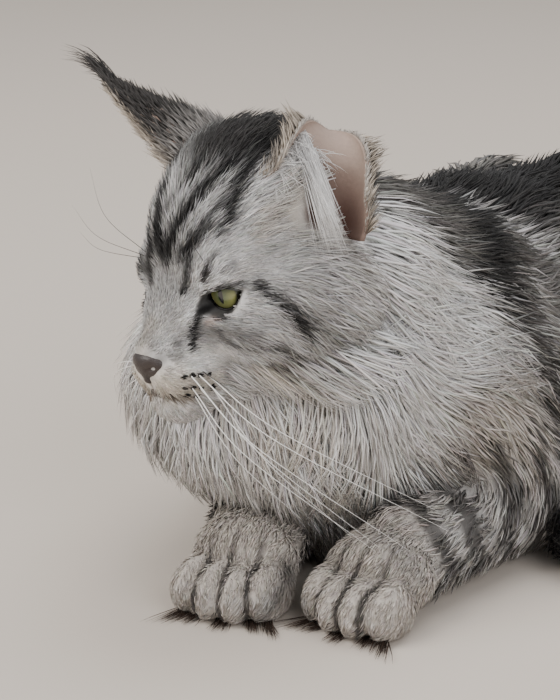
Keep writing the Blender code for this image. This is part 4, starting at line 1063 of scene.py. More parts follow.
@dataclass(frozen=True)
class SkinFinish:
    """The skin with its undercoat: the pelt's colours darkened, in short fine hair."""

    name: str
    grain: float = 900.0
    least: float = 0.56
    spread: float = 0.40

    def make(self) -> Material:
        """Builds the material."""
        shader = Shader(self.name)
        colour = shader.attribute("coat_colour").outputs["Color"]
        fine, broad = shader.noise(self.grain, 4.0), shader.noise(120.0, 3.0)
        light = (self.least + fine * self.spread + broad * 0.16).held()
        shader.set(Base_Color=shader.darkened(colour, light))
        shader.set(Roughness=(0.62 + fine * 0.25).held(), Specular_IOR_Level=0.2)
        shader.bump(fine + broad * 0.5, 0.5, 0.0006)
        return shader.material


@dataclass(frozen=True)
class BareFinish:
    """Bare skin, as on the nose, the lids and inside the ears: fine pits, a blush, and damp or dry."""

    name: str
    low: tuple
    high: tuple
    roughness: float
    grain: float = 700.0
    bump: float = 0.4
    coat: float = 0.0

    def make(self) -> Material:
        """Builds the material."""
        shader = Shader(self.name)
        place = shader.node("ShaderNodeTexCoord").outputs["Object"]
        cells = shader.node("ShaderNodeTexVoronoi", inputs={"Vector": place, "Scale": self.grain})
        pits = shader.value(cells.outputs["Distance"])
        blush = shader.noise(95.0, 4.0)
        share = (blush * 1.7 - 0.45 + pits * 0.25).held()
        shader.set(Base_Color=shader.mixed(share, self.low, self.high))
        shader.set(Roughness=(self.roughness + (pits - 0.3) * 0.25).held(), Coat_Weight=self.coat)
        shader.set(Coat_Roughness=0.25)
        shader.bump(pits, self.bump, 0.0003)
        return shader.material


@dataclass(frozen=True)
class EyeFinish:
    """An eye: a slit pupil, an iris that is green in the middle and yellow outside, with painted shade over
    its upper part, and a wet surface.
    """

    name: str
    pupil: tuple = (0.006, 0.008, 0.010)
    inner: tuple = (0.085, 0.125, 0.055)
    outer: tuple = (0.330, 0.340, 0.110)
    rim: tuple = (0.020, 0.022, 0.012)
    # Painted shade: the colour the upper iris takes, as if under the lid's shadow
    shaded: tuple = (0.060, 0.075, 0.035)

    def make(self) -> Material:
        """Builds the material on the eye's own coordinates, which run from -1 to 1 over the ball."""
        shader = Shader(self.name)
        across, _, height = shader.parts_of("gaze")
        radius = (across * across + height * height) ** 0.5
        angle = height.maths("ARCTAN2", height, across)
        fibres = shader.noise(2.2, 4.0, shader.place_of(angle * 9.0, radius * 2.2))
        outward = ((radius - 0.26) * 2.4 + (fibres - 0.5) * 0.7).held()
        iris = shader.mixed(outward, self.inner, self.outer)
        iris = shader.mixed((fibres * 0.7 - 0.1).held(), iris, (0.22, 0.24, 0.09))
        iris = shader.mixed(((radius - 0.80) * 9.0).held(), iris, self.rim)
        # Painted shade: the iris darkens from its middle upwards, as if under the upper lid's shadow
        iris = shader.mixed(((height + 0.04) * 2.0).held(), iris, self.shaded)
        slit = (1.0 - ((across / 0.15) ** 2.0 + (height / 0.50) ** 2.0)) * 5.0 + 0.5
        shader.set(Base_Color=shader.mixed(slit.held(), iris, self.pupil))
        shader.set(Roughness=(0.16 + fibres * 0.1).held(), Coat_Weight=1.0, Coat_Roughness=0.02)
        shader.bump(fibres, 0.10, 0.0002)
        return shader.material


@dataclass(frozen=True)
class BristleFinish:
    """Whiskers: stiff and glossy, one tone with fine bands along the hair."""

    name: str
    root: tuple
    tip: tuple

    def make(self) -> Material:
        """Builds the material."""
        shader = Shader(self.name)
        bands = shader.noise(140.0, 2.0)
        shader.set(Base_Color=shader.mixed(bands.held(), self.root, self.tip))
        shader.set(Roughness=(0.28 + bands * 0.12).held(), Specular_IOR_Level=0.5)
        return shader.material


@dataclass(frozen=True)
class FloorFinish:
    """A plain pale floor."""

    name: str
    colour: tuple

    def make(self) -> Material:
        """Builds the material."""
        shader = Shader(self.name)
        shader.set(Base_Color=self.colour, Roughness=0.85, Specular_IOR_Level=0.1)
        return shader.material


# Meshes
def mesh_object(name: str, points: np.ndarray, faces: np.ndarray,
                material: Material) -> Object:
    """A smooth object.

    Args:
        name: its name.
        points: its points.
        faces: its triangles or quads, all of one kind.
        material: its finish.

    Returns:
        The object, linked to the scene.
    """
    mesh = bpy.data.meshes.new(name)
    corners = faces.shape[1]
    mesh.vertices.add(len(points))
    mesh.vertices.foreach_set("co", np.ascontiguousarray(points, np.float32).ravel())
    mesh.loops.add(faces.size)
    mesh.loops.foreach_set("vertex_index", np.ascontiguousarray(faces, np.int32).ravel())
    mesh.polygons.add(len(faces))
    mesh.polygons.foreach_set("loop_start", np.arange(0, faces.size, corners, dtype=np.int32))
    mesh.polygons.foreach_set("use_smooth", np.ones(len(faces), dtype=bool))
    mesh.update(calc_edges=True)
    made = bpy.data.objects.new(name, mesh)
    bpy.context.scene.collection.objects.link(made)
    mesh.materials.append(material)
    return made


def add_values(obj: Object, name: str, kind: str, values: np.ndarray) -> None:
    """Adds a value for each point of the mesh, FLOAT_COLOR or FLOAT_VECTOR."""
    layer = obj.data.attributes.new(name, kind, "POINT")
    if kind == "FLOAT_COLOR":
        values = np.concatenate([values, np.ones((len(values), 1))], axis=1)
        layer.data.foreach_set("color", np.ascontiguousarray(values, np.float32).ravel())
    else:
        layer.data.foreach_set("vector", np.ascontiguousarray(values, np.float32).ravel())


def points_of(obj: Object) -> np.ndarray:
    """The object's points."""
    made = np.empty(len(obj.data.vertices) * 3, np.float32)
    obj.data.vertices.foreach_get("co", made)
    return made.reshape(-1, 3).astype(np.float64)


def applied(obj: Object) -> Object:
    """The object with its modifiers made part of its mesh."""
    graph = bpy.context.evaluated_depsgraph_get()
    mesh = bpy.data.meshes.new_from_object(obj.evaluated_get(graph))
    obj.modifiers.clear()
    obj.data = mesh
    return obj


def combined(obj: Object, others: list, operation: str) -> Object:
    """One Boolean, after which the others are gone.

    Args:
        obj: the object that is joined or cut.
        others: what it is joined with or cut by.
        operation: UNION or DIFFERENCE.

    Returns:
        The object.
    """
    tools = bpy.data.collections.new("tools")
    bpy.context.scene.collection.children.link(tools)
    for other in others:
        tools.objects.link(other)
    modifier = obj.modifiers.new("combine", "BOOLEAN")
    modifier.operation, modifier.solver = operation, "MANIFOLD"
    modifier.operand_type, modifier.collection = "COLLECTION", tools
    applied(obj)
    for other in others:
        bpy.data.objects.remove(other)
    bpy.data.collections.remove(tools)
    return obj


@dataclass
class Skin:
    """One skin under the whole coat, with the folds, lids, mouth and toes in it."""

    body_cell: float = 0.0034
    head_cell: float = 0.00095
    paw_cell: float = 0.0014
    limb_cell: float = 0.0022
    tail_coarser: float = 1.2
    lid_blend: float = 0.0045
    lid_back: float = 0.003
    eye_gap: float = 0.0002
    fold_blend: float = 0.0012
    finish: SkinFinish = SkinFinish("undercoat")

    def surface(self, name: str, depth: Callable, low: np.ndarray, high: np.ndarray, cell: float,
                material: Material) -> Object:
        """The closed surface where a distance function is zero.

        Args:
            name: the object's name.
            depth: the function of points that gives their distance.
            low: lowest corner of the space to look in.
            high: highest corner of it.
            cell: size of a cell.
            material: the finish.

        Returns:
            The object, its faces pointing out.
        """
        axes = [np.arange(low[i], high[i] + cell, cell) for i in range(3)]
        points = np.stack(np.meshgrid(*axes, indexing="ij"), axis=-1)
        grid = openvdb.FloatGrid(1.0)
        values = np.stack([depth(part) for part in points])
        grid.copyFromArray(values.astype(np.float32))
        corners, quads = grid.convertToQuads(0.0)
        corners = corners * cell + low
        quads = quads.astype(np.int32)
        first, second, third = (corners[quads[:, i]] for i in range(3))
        if (first * np.cross(second, third)).sum() < 0:
            quads = quads[:, ::-1]
        return mesh_object(name, corners, quads, material)

    def head_depth(self, points: np.ndarray) -> np.ndarray:
        """Distance from the head's skin, with the lids over the eyes and the line of the mouth."""
        total = HEAD_FLESH.depth(points, SKIN_SHARE)
        local = HEAD_FLESH.local(points)
        for side in Side:
            eye = eye_local(points, side)
            radius = np.linalg.norm(eye, axis=-1)
            total = smooth_least(total, radius - EYE_RADIUS - LID_THICK, self.lid_blend)
            opening = np.maximum(lid_distance(eye), self.lid_back - eye[..., 1])
            total = np.maximum(total, -opening)
            total = np.maximum(total, EYE_RADIUS + self.eye_gap - radius)
        for route, radius in self.grooves():
            groove = np.full(points.shape[:-1], FAR)
            for start, end in zip(route, route[1:]):
                groove = np.minimum(groove, Form(start, (radius, radius), end=end).distance(local))
            total = -smooth_least(-total, groove, self.fold_blend)
        return total

    def grooves(self) -> tuple:
        """The line of the mouth and the cleft above it, with their radii."""
        half = (
            (0.0000, 0.0360, -0.0375),
            (0.0060, 0.0360, -0.0390),
            (0.0125, 0.0320, -0.0405),
            (0.0180, 0.0225, -0.0415),
            (0.0215, 0.0120, -0.0395),
        )
        line = tuple((-x, y, z) for x, y, z in reversed(half[1:])) + half
        return (line, 0.0013), (((0.0, 0.0400, -0.0270), (0.0, 0.0385, -0.0370)), 0.0009)

    def build(self) -> Object:
        """Builds the skin from its parts, joined into one closed surface."""
        material = self.finish.make()
        parts = [(HEAD_FLESH, self.head_cell, self.head_depth)]
        for fleshes, cell in ((ARM_FLESH, self.limb_cell), (PAW_FLESH, self.paw_cell),
                              (THIGH_FLESH, self.body_cell), (FOOT_FLESH, self.limb_cell)):
            parts += [(flesh, cell, None) for flesh in fleshes.values()]
        parts.append((TAIL_FLESH_FIELD, self.limb_cell * self.tail_coarser, None))

        def part(name: str, flesh: Flesh, cell: float, special: Callable | None) -> Object:
            """The skin of one flesh, from its own distance or a special one."""
            depth = special or (lambda p: flesh.depth(p, SKIN_SHARE))
            return self.surface(name, depth, *flesh.reach(), cell, material)

        whole = part("skin", BODY_FLESH, self.body_cell, None)
        combined(whole, [part("skin_part", *given) for given in parts], "UNION")
        combined(whole, [self.floor_block(material)], "DIFFERENCE")
        whole.data.polygons.foreach_set("use_smooth", np.ones(len(whole.data.polygons), dtype=bool))
        add_values(whole, "coat_colour", "FLOAT_COLOR", PELT.colour(points_of(whole)))
        return whole

    def floor_block(self, material: Material) -> Object:
        """A block below the floor, to cut the skin flat."""
        wide = (-1.0, 1.0)
        corners = np.array([(x, y, z) for x in wide for y in wide for z in (-0.5, FLOOR_CLEAR)])
        faces = [(0, 1, 3, 2), (4, 6, 7, 5), (0, 4, 5, 1), (2, 3, 7, 6), (0, 2, 6, 4), (1, 5, 7, 3)]
        return mesh_object("floor_block", corners, np.array(faces), material)


# Coat
# How far a tuft's two edges lie under its route and its ridge over it, as shares of its half width
EDGE_SINK = 0.25
RIDGE_RISE = 0.55

# Half the size of a tuft's patch on the unwrap, and the least and greatest of a tuft's colour
PATCH = 0.0015
DARKEST = 0.004
PALEST = 0.95

# How near the lids' opening a tuft is left out, and from where to where along the gaze
LID_CLEAR = 0.0003
EYE_NEAR = 0.004
EYE_FAR = 0.030


def taper(spans: int) -> np.ndarray:
    """A tuft's width at the start of each span, as a share of its full width."""
    return np.array({2: (0.85, 0.90), 3: (0.75, 1.0, 0.66), 4: (0.70, 1.0, 0.86, 0.50)}[spans])


def scattered(rng: np.random.Generator, count: int) -> np.ndarray:
    """Random places on the unwrap, clear of its edges."""
    return rng.random((count, 2)) * 0.98 + 0.01


def tuft_mesh(name: str, route: np.ndarray, outward: np.ndarray, width: np.ndarray, colour: np.ndarray,
              bake: np.ndarray, rng: np.random.Generator, material: Material,
              twist: float = 0.5) -> Object:
    """Closed three-sided tufts along their routes, as one mesh.

    Args:
        name: the object's name.
        route: points of each tuft, root first.
        outward: direction away from the skin at each of them.
        width: each tuft's width.
        colour: each tuft's colour.
        bake: each tuft's place on its unwrap.
        rng: source of the random twist.
        material: the finish.
        twist: how far a tuft's flat side may turn, in radians.

    Returns:
        The object.
    """
    count, spans = len(route), route.shape[1] - 1
    shape = taper(spans)
    turn = rng.normal(0.0, twist, (count, 1))
    rings, side_marks, along_marks = [], [], []
    for i in range(spans):
        ahead = unit(route[:, i + 1] - route[:, max(i - 1, 0)])
        across = unit(np.cross(ahead, outward[:, i]))
        rise = np.cross(across, ahead)
        sine, cosine = np.sin(turn), np.cos(turn)
        across, rise = across * cosine + rise * sine, rise * cosine - across * sine
        half = (width * shape[i] / 2)[:, None]
        rings += [
            route[:, i] - across * half - rise * half * EDGE_SINK,
            route[:, i] + across * half - rise * half * EDGE_SINK,
            route[:, i] + rise * half * RIDGE_RISE,
        ]
        side_marks += [-1.0, 1.0, 0.0]
        along_marks += [i / spans] * 3
    rings.append(route[:, spans])
    side_marks.append(0.0)
    along_marks.append(1.0)
    points = np.stack(rings, axis=1)
    points[..., 2] = np.maximum(points[..., 2], FLOOR_CLEAR * 0.5)
    size = points.shape[1]
    last = (spans - 1) * 3
    faces = [(2, 1, 0)]
    for i in range(spans - 1):
        for k in range(3):
            a, b = i * 3 + k, i * 3 + (k + 1) % 3
            faces += [(a, b, b + 3), (a, b + 3, a + 3)]
    faces += [(last + k, last + (k + 1) % 3, size - 1) for k in range(3)]
    faces = np.array(faces)[None] + (np.arange(count) * size)[:, None, None]
    made = mesh_object(name, points.reshape(-1, 3), faces.reshape(-1, 3), material)
    add_values(made, "coat_colour", "FLOAT_COLOR", np.repeat(colour, size, axis=0))
    side, along = np.array(side_marks), np.array(along_marks)
    strand = [np.tile(side, count), np.tile(along, count), np.repeat(rng.random(count), size)]
    add_values(made, "strand", "FLOAT_VECTOR", np.stack(strand, axis=1))
    spots = bake[:, None, :] + np.stack([side, along * 2 - 1], axis=-1)[None] * PATCH
    layer = made.data.uv_layers.new(name="OFBake")
    layer.data.foreach_set("uv", spots.reshape(-1, 2)[faces.reshape(-1)].astype(np.float32).ravel())
    return made


@dataclass(frozen=True)
class Coat:
    """A coat of tufts over one part of the body.

    where tells for each point how dense the coat is there, stray how far a tuft turns from the lie, clump how
    many tufts gather to one point, pull how much, and lift between which shares of the coat's depth the tips
    end. longer lengthens the hair, jitter and tint vary where it takes its colour and how light it is, and
    tipward is how far towards its tip that place lies. cell is how finely the roots' surface is made.
    """

    name: str
    flesh: Flesh
    count: int
    spans: int
    width: float
    where: Callable
    seed: int
    stray: float = 0.22
    swirl: float = 0.25
    clump: int = 18
    pull: float = 0.6
    lift: tuple = (0.45, 1.05)
    longer: float = 1.0
    jitter: float = 0.0012
    tint: float = 0.11
    tipward: float = 0.55
    pieces: int = 1
    cell: float = 0.0030
    short: bool = False

    def roots(self, rng: np.random.Generator) -> np.ndarray:
        """Random places on the skin, more of them where the coat is denser."""
        low, high = self.flesh.reach()
        surface = Skin().surface("roots", lambda p: self.flesh.depth(p, ROOT_SHARE), low, high, self.cell,
                                 bpy.data.materials.get("undercoat"))
        points = points_of(surface)
        quads = np.empty(len(surface.data.loops), np.int32)
        surface.data.loops.foreach_get("vertex_index", quads)
        quads = quads.reshape(-1, 4)
        bpy.data.objects.remove(surface)
        corners = points[np.concatenate([quads[:, [0, 1, 2]], quads[:, [0, 2, 3]]])]
        areas = np.linalg.norm(np.cross(corners[:, 1] - corners[:, 0], corners[:, 2] - corners[:, 0]), axis=1)
        density = np.maximum(self.where(corners.mean(axis=1)), 0.0)
        chance = areas * density
        picks = rng.choice(len(areas), size=self.count, p=chance / chance.sum())
        a, b = rng.random((2, self.count, 1))
        root = np.sqrt(a)
        first, second, third = (corners[picks, i] for i in range(3))
        return first * (1 - root) + second * root * (1 - b) + third * root * b

    def routes(self, roots: np.ndarray, rng: np.random.Generator) -> tuple[np.ndarray, np.ndarray]:
        """The way of each tuft over the skin.

        Args:
            roots: where the tufts spring.
            rng: source of what varies between them.

        Returns:
            The points along each tuft, and the way out from the skin at each of them.
        """
        flesh = self.flesh
        lies = flesh.lies()
        coats = np.array([form.coat for form in flesh.forms])
        hairs = np.array([form.hair for form in flesh.forms])
        stray = rng.normal(0.0, self.stray, len(roots))
        lift = rng.uniform(*self.lift, len(roots))
        near = flesh.shares(roots)
        lengths = (near @ hairs) * self.longer * rng.uniform(0.65, 1.20, len(roots))
        wave = (roots * np.array((61.0, 47.0, 53.0))).sum(axis=1)
        swirl = self.swirl * (np.sin(wave) + np.sin(wave * 2.3 + 1.7) * 0.6)
        places, route = roots.copy(), [roots]
        normals = flesh.outward(places)
        outs = [normals]
        for step in range(1, self.spans + 1):
            share = step / self.spans
            near = flesh.shares(places)
            ahead = near @ lies
            ahead = unit(ahead - (ahead * normals).sum(axis=1, keepdims=True) * normals)
            turn = (stray * (0.4 + share) + swirl * share)[:, None]
            ahead = ahead * np.cos(turn) + np.cross(normals, ahead) * np.sin(turn)
            places = places + ahead * (lengths / self.spans)[:, None]
            depth = (near @ coats) * (ROOT_SHARE + (lift - ROOT_SHARE) * share**0.75)
            normals = flesh.outward(places)
            places = places + normals * (depth - flesh.depth(places))[:, None] * 0.85
            places[:, 2] = np.maximum(places[:, 2], FLOOR_CLEAR + 0.0035 * (1.0 - share))
            route.append(places)
            outs.append(normals)
        return np.stack(route, axis=1), np.stack(outs, axis=1)

    def gathered(self, route: np.ndarray, rng: np.random.Generator) -> tuple[np.ndarray, np.ndarray]:
        """The tufts drawn together in locks.

        Args:
            route: the points along each tuft.
            rng: source of the choice of guides and of each tuft's pull.

        Returns:
            The routes drawn towards shared tips, and the number of each tuft's guide.
        """
        count = len(route)
        guides = rng.permutation(count)[: max(1, count // self.clump)]
        tree = KDTree(len(guides))
        for i, guide in enumerate(guides):
            tree.insert(route[guide, 0], i)
        tree.balance()
        own = np.array([guides[tree.find(place)[1]] for place in route[:, 0]])
        pull = self.pull * rng.uniform(0.5, 1.0, count)
        made = route.copy()
        for step in range(1, route.shape[1]):
            share = (step / (route.shape[1] - 1)) ** 1.3
            weight = (pull * share)[:, None]
            made[:, step] = route[:, step] * (1 - weight) + route[own, step] * weight
        return made, own

    def unhidden(self, route: np.ndarray) -> np.ndarray:
        """Which tufts keep out of the openings of the lids and of the cups of the ears."""
        free = np.ones(len(route), dtype=bool)
        for side in Side:
            eye = eye_local(route[:, 1:].reshape(-1, 3), side)
            inside = (lid_distance(eye, 0.0) < LID_CLEAR) & (eye[:, 1] > EYE_NEAR) & (eye[:, 1] < EYE_FAR)
            free &= ~inside.reshape(len(route), -1).any(axis=1)
        for ear in EARS:
            free &= ~(ear.encloses(route[:, 0]) | ear.encloses(route[:, -1]))
        return free

    def unwrapped(self, roots: np.ndarray) -> np.ndarray:
        """Each root's place on an unwrap of the skin round the long axis of this part."""
        middle = roots.mean(axis=0)
        _, _, axes = np.linalg.svd(roots[:: max(1, len(roots) // 2000)] - middle, full_matrices=False)
        offset = (roots - middle) @ axes.T
        along = (offset[:, 0] - offset[:, 0].min()) / np.ptp(offset[:, 0])
        round_it = np.arctan2(offset[:, 2], offset[:, 1]) / (2 * math.pi) + 0.5
        return np.stack([round_it, along], axis=-1) * 0.99 + 0.005

    def build(self, material: Material) -> list[Object]:
        """Builds the coat, in as many pieces as it needs."""
        rng = np.random.default_rng(self.seed)
        roots = self.roots(rng)
        route, outward = self.routes(roots, rng)
        route, own = self.gathered(route, rng)
        free = self.unhidden(route)
        own = np.where(free[own], own, np.arange(len(own)))
        own = (np.cumsum(free) - 1)[own[free]]
        roots, route, outward = roots[free], route[free], outward[free]
        tips = route[:, -1] * 0.7 + route[own, -1] * 0.3
        places = route[:, 0] * (1 - self.tipward) + tips * self.tipward
        places = places + rng.normal(0.0, self.jitter, places.shape)
        colour = PELT.colour(places)
        colour *= 1.0 + rng.normal(0.0, self.tint, (len(roots), 1)) + rng.normal(0.0, 0.02, (len(roots), 3))
        colour = np.clip(colour, DARKEST, PALEST)
        bake = self.unwrapped(roots)
        order = np.argsort(bake[:, 1])
        made = []
        for i, part in enumerate(np.array_split(order, self.pieces)):
            lengths = np.linalg.norm(route[part, -1] - route[part, 0], axis=1)
            size = np.clip(lengths / lengths.mean(), 0.6, 1.3)
            width = self.width * rng.uniform(0.6, 1.3, len(part)) * size
            name = self.name if self.pieces == 1 else f"{self.name}_{i + 1}"
            given = (route[part], outward[part], width, colour[part], bake[part])
            made.append(tuft_mesh(name, *given, rng, material))
        return made


def clear_of(points: np.ndarray, others: tuple, share: float = 0.15, margin: float = 0.0) -> np.ndarray:
    """Where points lie outside the other parts' flesh.

    Args:
        points: places in the room.
        others: the other parts.
        share: how much of their coats counts as flesh.
        margin: how far out a point has to lie.

    Returns:
        One for each point that does, else zero.
    """
    free = np.ones(len(points))
    for other in others:
        free *= other.depth(points, share) > margin
    return free


@dataclass
class Pelage:
    """All the coats of the cat, finest on the face and feet."""

    finish: HairFinish = HairFinish("long_hair")
    short_finish: HairFinish = HairFinish("short_hair", sheen=0.0, streak=0.26)

    def coats(self) -> list[Coat]:
        """Each coat, with the function that says where it grows."""
        limbs = tuple(ARM_FLESH.values()) + tuple(THIGH_FLESH.values()) + (TAIL_FLESH_FIELD,)
        nose = Nose()

        def above_floor(p: np.ndarray, low: float = 0.006) -> np.ndarray:
            """One above the floor's level, else zero."""
            return (p[:, 2] > low).astype(float)

        def face(p: np.ndarray) -> np.ndarray:
            """Dense on the front of the face, away from the eyes' openings and the nose leather."""
            _, y, z = HEAD_FLESH.local(p).T
            made = ((y > -0.022) & (z > -0.058)).astype(float) * np.where(y > 0.0, 1.5, 1.0)
            for side in Side:
                eye = eye_local(p, side)
                made *= (lid_distance(eye, 0.0) > 0.0002) | (eye[:, 1] < 0.0)
            return made * (nose.depth(p) > 0.0008)

        def skull(p: np.ndarray) -> np.ndarray:
            """The crown, the cheeks and the back of the head."""
            return (HEAD_FLESH.local(p)[:, 1] <= -0.012) * clear_of(p, (BODY_FLESH,), 0.0)

        def jaw(p: np.ndarray) -> np.ndarray:
            """The lower edge of the cheeks and the jaw."""
            x, y, z = HEAD_FLESH.local(p).T
            low = (z < -0.030) & (z > -0.060)
            return (low & (y < 0.014) & (y > -0.045) & (np.abs(x) > 0.008)).astype(float)

        def ruff(p: np.ndarray) -> np.ndarray:
            """The neck, ruff and bib."""
            made = above_floor(p, 0.030) * (p[:, 1] + RUFF_LEAN * p[:, 2] < 0.105)
            return made * clear_of(p, (HEAD_FLESH,) + limbs) * np.where(p[:, 0] > -0.03, 1.4, 1.0)

        def trunk(p: np.ndarray) -> np.ndarray:
            """The back and flanks, denser where the coat shows best."""
            made = above_floor(p, 0.012) * (p[:, 1] + RUFF_LEAN * p[:, 2] >= 0.085)
            return made * clear_of(p, limbs) * np.where(p[:, 1] < 0.14, 1.6, 1.0)

        def limb(p: np.ndarray) -> np.ndarray:
            """A leg outside the body."""
            return above_floor(p) * clear_of(p, (BODY_FLESH,), 0.15)

        def fore(p: np.ndarray) -> np.ndarray:
            """A foreleg, also a little way under the coat of the chest."""
            return above_floor(p) * clear_of(p, (BODY_FLESH,), 0.0, -0.004)

        def plain(p: np.ndarray) -> np.ndarray:
            """Everywhere above the floor."""
            return above_floor(p, 0.003)

        made = [
            Coat("coat_face", HEAD_FLESH, 25500, 2, 0.00070, face, 21, stray=0.18, swirl=0.10, clump=6,
                 pull=0.30, lift=(0.75, 1.30), jitter=0.0005, tipward=0.35, pieces=2, cell=0.0020,
                 short=True),
            Coat("coat_head", HEAD_FLESH, 13500, 3, 0.00095, skull, 22, longer=1.35, stray=0.18, swirl=0.16,
                 clump=12, pull=0.45, lift=(0.68, 1.35), tipward=0.45, pieces=2),
            Coat("coat_ruff", BODY_FLESH, 20000, 3, 0.0015, ruff, 23, longer=1.15, stray=0.19, swirl=0.30,
                 pull=0.50, lift=(0.64, 1.25), jitter=0.005, tint=0.08, pieces=3, cell=0.0060),
            Coat("coat_jaw", HEAD_FLESH, 3300, 3, 0.00090, jaw, 26, longer=1.6, stray=0.20, swirl=0.20,
                 clump=10, pull=0.50, lift=(0.9, 3.4), jitter=0.002, tint=0.09, tipward=0.80),
            Coat("coat_trunk", BODY_FLESH, 10400, 3, 0.0026, trunk, 24, stray=0.16, swirl=0.18, clump=20,
                 lift=(0.60, 1.1), jitter=0.004, pieces=2, cell=0.0060),
            Coat("coat_tail", TAIL_FLESH_FIELD, 5200, 3, 0.0026, plain, 25, stray=0.26, swirl=0.2, clump=16,
                 pull=0.5, lift=(0.56, 1.05), jitter=0.003, cell=0.0060),
        ]
        for sign, side in ((1, "left"), (-1, "right")):
            made += [
                Coat(f"coat_foreleg_{side}", ARM_FLESH[sign], 3600, 3, 0.0012, fore, 31 + sign, stray=0.2,
                     swirl=0.15, clump=10, pull=0.5, lift=(0.72, 1.2), jitter=0.002),
                Coat(f"coat_forepaw_{side}", PAW_FLESH[sign], 6000, 2, 0.0009, plain, 35 + sign, stray=0.18,
                     swirl=0.1, clump=7, pull=0.35, lift=(0.75, 1.3), jitter=0.0006, tipward=0.35,
                     short=True),
                Coat(f"coat_hindleg_{side}", THIGH_FLESH[sign], 2200, 3, 0.0028, limb, 41 + sign, clump=16,
                     lift=(0.6, 1.1), jitter=0.004),
                Coat(f"coat_hindfoot_{side}", FOOT_FLESH[sign], 1700, 2, 0.0014, plain, 45 + sign, clump=8,
                     pull=0.4, lift=(0.72, 1.2), jitter=0.001, short=True),
            ]
        return made

    def build(self) -> list[Object]:
        """Builds every coat."""
        long_hair, short_hair = self.finish.make(), self.short_finish.make()
        made = []
        for coat in self.coats():
            made += coat.build(short_hair if coat.short else long_hair)
            log.info("%s built", coat.name)
        return made


# Eyes and nose
@dataclass
class Eye:
    """An eyeball with its dark lid margin."""

    side: Side
    segments: int = 64
    rings: int = 40
    iris_scale: float = 1.45
    finish: EyeFinish = EyeFinish("iris")
    rim_finish: BareFinish = BareFinish(
        "lid_margin", (0.006, 0.005, 0.005), (0.030, 0.022, 0.020), 0.30, 900.0, 0.2, 0.5
    )

    def placed(self, piece: str, points: np.ndarray, faces: list,
               material: Material) -> Object:
        """A piece of the eye from points in the eye's frame, its faces pointing out."""
        name = f"eye_{self.side.name.lower()}_{piece}"
        points = to_room(points, eye_matrix(self.side))
        return outward_faces(mesh_object(name, points, np.array(faces), material))

    def ball(self) -> Object:
        """The ball, with the cornea's bulge in front."""
        polar = np.linspace(0.0, math.pi, self.rings + 1)[1:-1]
        turn = np.arange(self.segments) * 2 * math.pi / self.segments
        ring = np.stack([
            np.outer(np.sin(polar), np.cos(turn)),
            np.repeat(np.cos(polar), self.segments).reshape(len(polar), -1),
            np.outer(np.sin(polar), np.sin(turn)),
        ], axis=-1).reshape(-1, 3)
        unit_ball = np.concatenate([ring, [(0.0, 1.0, 0.0), (0.0, -1.0, 0.0)]])
        front, back = len(ring), len(ring) + 1
        faces = []
        for r in range(len(polar) - 1):
            for c in range(self.segments):
                a, b = r * self.segments + c, r * self.segments + (c + 1) % self.segments
                faces += [(a, b, b + self.segments), (a, b + self.segments, a + self.segments)]
        for c in range(self.segments):
            d = (c + 1) % self.segments
            start = (len(polar) - 1) * self.segments
            faces += [(front, d, c), (back, start + c, start + d)]
        bulge = 1.0 + 0.035 * np.clip((unit_ball[:, 1] - 0.72) / 0.28, 0.0, 1.0) ** 2
        made = self.placed("ball", unit_ball * bulge[:, None] * EYE_RADIUS, faces, self.finish.make())
        gaze = (self.side.value * math.sin(GAZE_OUTWARD), math.cos(GAZE_OUTWARD), GAZE_RISE)
        look = np.array((HEAD_PLACE @ axes_matrix((0, 0, 0), gaze, (0, 0, 1))).to_3x3())
        turned = unit_ball @ np.array(eye_matrix(self.side))[:3, :3].T
        add_values(made, "gaze", "FLOAT_VECTOR", turned @ look * self.iris_scale)
        return made

    def rim(self) -> Object:
        """The bare dark margin of the lids, a tube round the opening."""
        steps, sides = 60, 8
        inner = -self.side.value
        centre = []
        for i in range(steps):
            angle = 2 * math.pi * i / steps
            u = math.cos(angle)
            upper, lower = LID_UPPER * (1 - abs(u) ** UPPER_POWER), -LID_LOWER * (1 - abs(u) ** LOWER_POWER)
            z = upper if math.sin(angle) > 0 else lower
            corner = max(0.0, (u * inner - 0.55) / 0.45)
            x = u * LID_HALF_WIDTH + inner * corner**1.5 * 0.0022
            z -= corner**1.5 * 0.0022
            reach = EYE_RADIUS + 0.0007
            y = math.sqrt(max(reach**2 - x * x - z * z, 1e-8)) + corner * 0.0006
            centre.append((Vector((x, y, z)), 0.00062 + corner * 0.0008))
        points, faces = [], []
        for i, (place, radius) in enumerate(centre):
            ahead = (centre[(i + 1) % steps][0] - centre[i - 1][0]).normalized()
            out = place.normalized()
            across = ahead.cross(out).normalized()
            for k in range(sides):
                turn = 2 * math.pi * k / sides
                points.append(place + across * math.cos(turn) * radius + out * math.sin(turn) * radius * 0.7)
        for i in range(steps):
            for k in range(sides):
                a, b = i * sides + k, i * sides + (k + 1) % sides
                c, d = (i + 1) % steps * sides + k, (i + 1) % steps * sides + (k + 1) % sides
                faces.append((a, b, d, c))
        return self.placed("lid_margin", np.array([tuple(p) for p in points]), faces, self.rim_finish.make())

    def build(self) -> list[Object]:
        """Builds the ball and its margin."""
        return [self.ball(), self.rim()]


def outward_faces(obj: Object) -> Object:
    """The object with its faces turned outwards."""
    edit = bmesh.new()
    edit.from_mesh(obj.data)
    bmesh.ops.recalc_face_normals(edit, faces=edit.faces)
    edit.to_mesh(obj.data)
    edit.free()
    return obj


